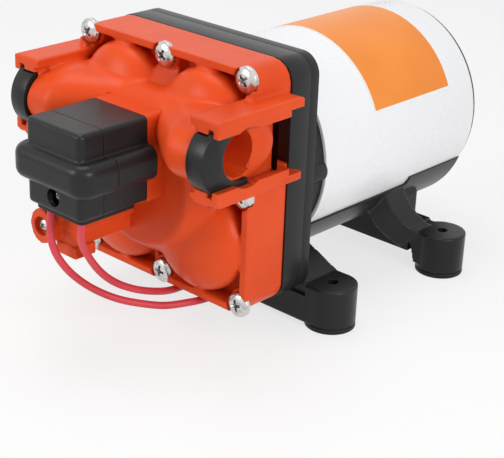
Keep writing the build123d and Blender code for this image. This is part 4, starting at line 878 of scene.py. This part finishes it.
# %% Base, arm and lug
lug_front, lug_length, lug_radius, taller = -132.0, 12.0, 6.4, (0.95, 1.0, 1.1)
counterbore_back, counterbore_radius = -129.4, 3.9
lug_hole_back, lug_hole_radius = -122.0, 1.5
arm_front, arm_back, arm_side, arm_high = -127.0, -96.9, -1.0, 57.0
heel_side, heel_back, heel_span, arm_low = -12.0, -117.0, (38.5, 43.0), 42.5
plate_back, plate_span, neck_half, neck_span = -93.0, (60.7, 95.3), 13.1, (62.2, 92.9)
trim_side, trim_front, trim_low, trim_top, trim_high = 20.0, -115.0, 58.0, 93.0, 99.0
lug = drum((lug_x, lug_front, lug_z), toward_back, lug_length, lug_radius)
shift(lug, lambda place: True, still, taller, (lug_x, lug_front, lug_z))
plate = block((-base_half, base_half), (box_rear - 4.0, plate_back), plate_span)
base = join(
    "switch_base_moulding",
    wear_edges(plate, 1.6, segments=4, angle=60.0),
    block((-neck_half, neck_half), (neck_front, box_rear + 1.0), neck_span),
    block((lug_x, arm_side), (arm_front, arm_back), (lug_z, arm_high)),
    block((lug_x, arm_side - 1.6), (arm_front + 0.6, arm_back), (arm_low, lug_z + 0.5)),
    block((heel_side, arm_side), (arm_front, heel_back), heel_span),
    block((lug_x, arm_side), (neck_front, arm_back), (arm_high - 1.0, box_low)),
    lug)
mould(base, grain=0.5, rounds=3)
cut(base,
    drum((lug_x, far_front, lug_z), toward_back, counterbore_back - far_front,
         counterbore_radius, sides=48),
    drum((lug_x, far_front, lug_z), toward_back, lug_hole_back - far_front,
         lug_hole_radius, sides=32),
    drum((0, -112.0, switch_z), toward_back, 20.0, 2.6, sides=32),
    drum((0, -103.0, switch_z), toward_back, 12.0, switch_well_radius),
    *[block(beside(side, seal_half, trim_side), (trim_front, box_rear), (trim_low, trim_high))
      for side in (-1, 1)],
    block((-trim_side, trim_side), (trim_front, box_rear), (trim_top, trim_high)),
    block((-trim_side, trim_side), (trim_front, neck_front + 0.1), (seal_high, trim_high)))
for x in (-hidden_screw_x, hidden_screw_x):
    cut(base, drum((x, -112.0, hidden_screw_z), toward_back, 7.6, 3.1, sides=32))
thin(base, most_faces=50000)
present(base, "pump_body", "orange_plastic", "switch_base", angle=60.0)

# %% [markdown]
# ## Parts that keep the solid's shape
#
# The clips, the two black plates, the flange, the sleeve and the grommet already have the right
# shape. What they miss is the small round that a mould leaves on every edge, which is what
# catches the light. A copy of the solid is merged, cleaned of its flat triangles and bevelled.


# %% A solid with moulded edges
def softened(node, name, body, slot_name, width):
    """A copy of a solid with a small round on its sharp edges."""
    piece = only(copy_at(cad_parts[node], still, name=name))
    bpy.ops.object.mode_set(mode="EDIT")
    bpy.ops.mesh.select_all(action="SELECT")
    bpy.ops.mesh.remove_doubles(threshold=merge_distance)
    bpy.ops.mesh.dissolve_limited(angle_limit=math.radians(1.0))
    bpy.ops.object.mode_set(mode="OBJECT")
    wear_edges(piece, width, angle=32.0)
    return present(piece, body, slot_name, node, angle=30.0)


softened("inlet_clip", "inlet_clip_moulding", "inlet_clip", "black_plastic", 0.35)
softened("outlet_clip", "outlet_clip_moulding", "outlet_clip", "black_plastic", 0.35)
softened("diaphragm_housing", "front_plate", "pump_body", "black_plastic", 0.5)
softened("drive_housing", "rear_plate", "pump_body", "black_plastic", 0.5)
softened("motor_front_flange", "flange_casting", "pump_body", "grey_metal", 0.4)
softened("motor_sleeve", "sleeve_film", "pump_body", "white_sleeve", 0.3)
softened("lead_grommet", "grommet_moulding", "pump_body", "black_rubber", 0.4)

# %% [markdown]
# ## The rear end bell
#
# The bell closes the motor. It is a pressed cap with a rolled edge and a wide boss over the
# bearing, so its half profile is spun like the screws.

# %% Spin the bell
bell = turned("rear_bell_pressing", [
    (0.0, 77.0), (28.0, 77.0), (29.0, 76.7), (29.7, 76.0), (30.0, 75.0), (30.0, 72.1),
    (30.6, 71.5), (40.4, 71.5), (41.8, 71.1), (42.6, 70.2), (42.9, 68.9), (42.9, 67.9),
    (40.2, 67.9), (40.2, 66.0), (38.4, 66.0), (38.4, 69.6), (14.5, 69.6), (14.5, 66.5),
    (11.1, 66.5), (11.1, 73.6), (0.0, 73.6)], 96)
shift(bell, lambda place: True, (0, 0, motor_z))
present(bell, "pump_body", "black_plastic", "rear_end_bell", angle=28.0)

# %% [markdown]
# ## The bracket
#
# The bracket is a thin trough under the motor with four legs. Each leg starts at the trough's
# rim, curves out and leans a little towards its end of the pump, and lands in a round foot with
# a screw hole. A rear leg is a row of cross-sections, so a short block is taken along its curve
# by extruding one end of it again and again. The front legs are plain ramps behind the plates.

# %% A leg along a curve
sleeve_radius, trough_radius, trough_z, trough_rim_z = 43.6, 41.3, 56.7, 38.2
foot_x, foot_y, foot_radius, foot_top, pad_top = 53.0, 38.0, 10.5, 19.0, 2.0
hole_radius, leg_thickness = 2.4, 9.0
# Each cross-section of a rear leg: its outer x, its top z, and its near and far y.
leg_line = [
    (35.2, 39.0, 15.6, 29.6), (36.6, 35.6, 16.4, 30.4), (37.5, 31.6, 17.8, 31.8),
    (38.8, 27.6, 19.8, 33.6), (40.8, 23.8, 22.6, 35.8), (43.6, 20.8, 25.2, 37.8),
    (47.5, 18.4, 27.6, 38.6),
]


def leg(side):
    """A rear leg: a slanted strip whose end is extruded along the outer curve."""
    half = leg_thickness / 2
    rows = [(Vector((side * (x - half), (near + far) / 2, z - half)) * mm, (far - near) * mm)
            for x, z, near, far in leg_line]
    middle, width = rows[0]
    bpy.ops.object.select_all(action="DESELECT")
    bpy.ops.mesh.primitive_plane_add(
        size=1.0, location=middle, rotation=(0.0, -side * math.radians(45), 0.0))
    bpy.context.object.scale = (leg_thickness * mm * math.sqrt(2), width, 1.0)
    piece = settle("leg")
    bpy.context.tool_settings.mesh_select_mode = (False, False, True)
    bpy.ops.object.mode_set(mode="EDIT")
    bpy.ops.mesh.select_all(action="SELECT")
    for next_middle, next_width in rows[1:]:
        bpy.ops.mesh.extrude_region_move(
            TRANSFORM_OT_translate={"value": next_middle - middle})
        bpy.ops.transform.resize(value=(1.0, next_width / width, 1.0), center_override=next_middle)
        middle, width = next_middle, next_width
    bpy.ops.object.mode_set(mode="OBJECT")
    return mend(piece)


# %% Trough, legs, feet and webs
trough_front, trough_length, trough_step_y, trough_high_rim_z = -33.6, 101.6, 30.0, 42.6
front_leg_y, cross_wall_y, wall_z = (-48.4, -27.6), (28.2, 44.0), 8.4
toe_near, toe_far, toe_low, toe_lean = 41.0, 52.0, 4.0, 4.6
ramp_near, ramp_far, ramp_rise = 22.0, 47.0, 11.6
low_wall_end, low_wall_top, high_wall_end, high_wall_top = 42.0, 20.0, 34.0, 31.0
trough = drum((0, trough_front, trough_z), toward_back, trough_length, trough_radius, sides=128)
cut(trough,
    block((-60.0, 60.0), (-40.0, trough_step_y), (trough_rim_z, 120.0)),
    block((-61.0, 61.0), (trough_step_y - 1, 80.0), (trough_high_rim_z, 121.0)))
bracket_forms = [trough]
for side in (-1, 1):
    for end in (-1, 1):
        bracket_forms.append(
            drum((side * foot_x, end * foot_y, pad_top), up, foot_top - pad_top, foot_radius))
    toe = block(beside(side, toe_near, toe_far), cross_wall_y, (toe_low, foot_top))
    shift(toe, lambda place: place.z < toe_low + 1 and abs(place.x) < toe_near + 1,
          (side * toe_lean, 0, 0))
    ramp = block(beside(side, ramp_near, ramp_far), front_leg_y, (pad_top, foot_top - 0.1))
    shift(ramp, lambda place: place.z > foot_top - 1 and abs(place.x) < ramp_near + 1,
          (0, 0, ramp_rise))
    bracket_forms += [
        leg(side), toe, ramp,
        block(beside(side, low_wall_end, foot_x), front_leg_y, (pad_top, foot_top)),
        block(beside(side, 0.0, low_wall_end), cross_wall_y, (wall_z, low_wall_top)),
        block(beside(side, 0.0, high_wall_end), cross_wall_y, (wall_z, high_wall_top)),
    ]
bracket = join("bracket_moulding", *bracket_forms)
mould(bracket, grain=0.6, rounds=1)
base_screw_places, base_screw_hole = (-14.4, 55.6), 1.6
plate_half, plate_rear, plate_low = 47.7, -47.0, 14.0
tools = [drum((0, -60.0, motor_z), toward_back, 160.0, sleeve_radius, sides=128),
         block((-plate_half, plate_half), (-60.0, plate_rear), (plate_low, 60.0))]
for side in (-1, 1):
    for end in (-1, 1):
        tools.append(drum((side * foot_x, end * foot_y, -2.0), up, 30.0, hole_radius, sides=32))
for y in base_screw_places:
    tools.append(drum((0, y, 10.0), up, 12.0, base_screw_hole, sides=24))
cut(bracket, *tools)
thin(bracket, most_faces=90000)
present(bracket, "pump_body", "black_plastic", "base_bracket", angle=50.0)

# %% Soles under the feet
foot_places = [(x, y) for x in (-foot_x, foot_x) for y in (-foot_y, foot_y)]
soles = join("sole_pads", *[
    wear_edges(drum((x, y, 0.0), up, pad_top + 0.1, foot_radius), 0.35, angle=60.0)
    for x, y in foot_places])
cut(soles, *[drum((x, y, -1.0), up, 5.0, hole_radius, sides=32) for x, y in foot_places])
present(soles, "pump_body", "black_rubber", "foot_pads")

# %% [markdown]
# ## Floor, light and world
#
# The photograph is a studio picture on white. The floor and the world look white to the camera
# and in reflections, while the light itself stays plain: three square soft lamps, from the front
# left, from the right and from above, and a pale world that fills the shadows.


# %% White where it is seen, plain light where it falls
def seen(finish):
    """1 for the camera's rays and for those in gloss and glass."""
    path = finish.node("ShaderNodeLightPath")
    kinds = ("Is Camera Ray", "Is Glossy Ray", "Is Transmission Ray")
    first, second, third = (Field(finish, path.outputs[kind]) for kind in kinds)
    return (first + second + third).between(0.0, 1.0)


floor_size, floor_glow, world_fill = 6.0, 0.72, 0.34
floor_finish = Finish("pale_floor", Roughness=0.9, Specular_IOR_Level=0.1)
floor_tint = floor_finish.noise(spacing=0.3).between(0.3, 0.7)
floor_colour = floor_finish.mix(floor_tint, (0.84, 0.84, 0.84), (0.86, 0.86, 0.86))
floor_finish.feed("Base Color", floor_colour)
glow = floor_finish.node("ShaderNodeEmission", None, {"Color": (1, 1, 1, 1), "Strength": 1.0})
blend = floor_finish.node("ShaderNodeMixShader", None, {0: seen(floor_finish) * floor_glow})
floor_finish.tree.links.new(floor_finish.shader.outputs[0], blend.inputs[1])
floor_finish.tree.links.new(glow.outputs[0], blend.inputs[2])
surface = floor_finish.tree.nodes["Material Output"].inputs["Surface"]
floor_finish.tree.links.new(blend.outputs[0], surface)

bpy.ops.object.select_all(action="DESELECT")
bpy.ops.mesh.primitive_plane_add(size=floor_size)
floor = bpy.context.object
floor.name = "studio_floor"
floor.data.materials.append(floor_finish.material)

world = bpy.data.worlds.new("studio_world")
world.use_nodes = True
bpy.context.scene.world = world
sky = world.node_tree
background = sky.nodes["Background"]
background.inputs["Color"].default_value = (1.0, 1.0, 1.0, 1.0)
path = sky.nodes.new("ShaderNodeLightPath")
either = sky.nodes.new("ShaderNodeMath")
either.operation = "MAXIMUM"
sky.links.new(path.outputs["Is Camera Ray"], either.inputs[0])
sky.links.new(path.outputs["Is Glossy Ray"], either.inputs[1])
level = sky.nodes.new("ShaderNodeMapRange")
level.inputs["To Min"].default_value = world_fill
level.inputs["To Max"].default_value = 1.0
sky.links.new(either.outputs[0], level.inputs["Value"])
sky.links.new(level.outputs["Result"], background.inputs["Strength"])


def lamp(name, place, aim, size, power):
    """A square soft lamp that faces a point."""
    bpy.ops.object.light_add(type="AREA", location=place)
    light = bpy.context.object
    light.name = name
    light.data.size = size
    light.data.energy = power
    light.rotation_mode = "QUATERNION"
    light.rotation_quaternion = (Vector(aim) - Vector(place)).to_track_quat("-Z", "Y")
    return light


pump_middle = (0.0, -0.03, 0.06)
lamp("lamp_front_left", (-0.35, -0.8, 0.45), pump_middle, 0.4, 3.3)
lamp("lamp_right", (0.85, -0.2, 0.4), pump_middle, 0.4, 4.3)
lamp("lamp_above", (-0.15, -0.05, 0.95), pump_middle, 0.5, 3.7)
print("Stage is set")
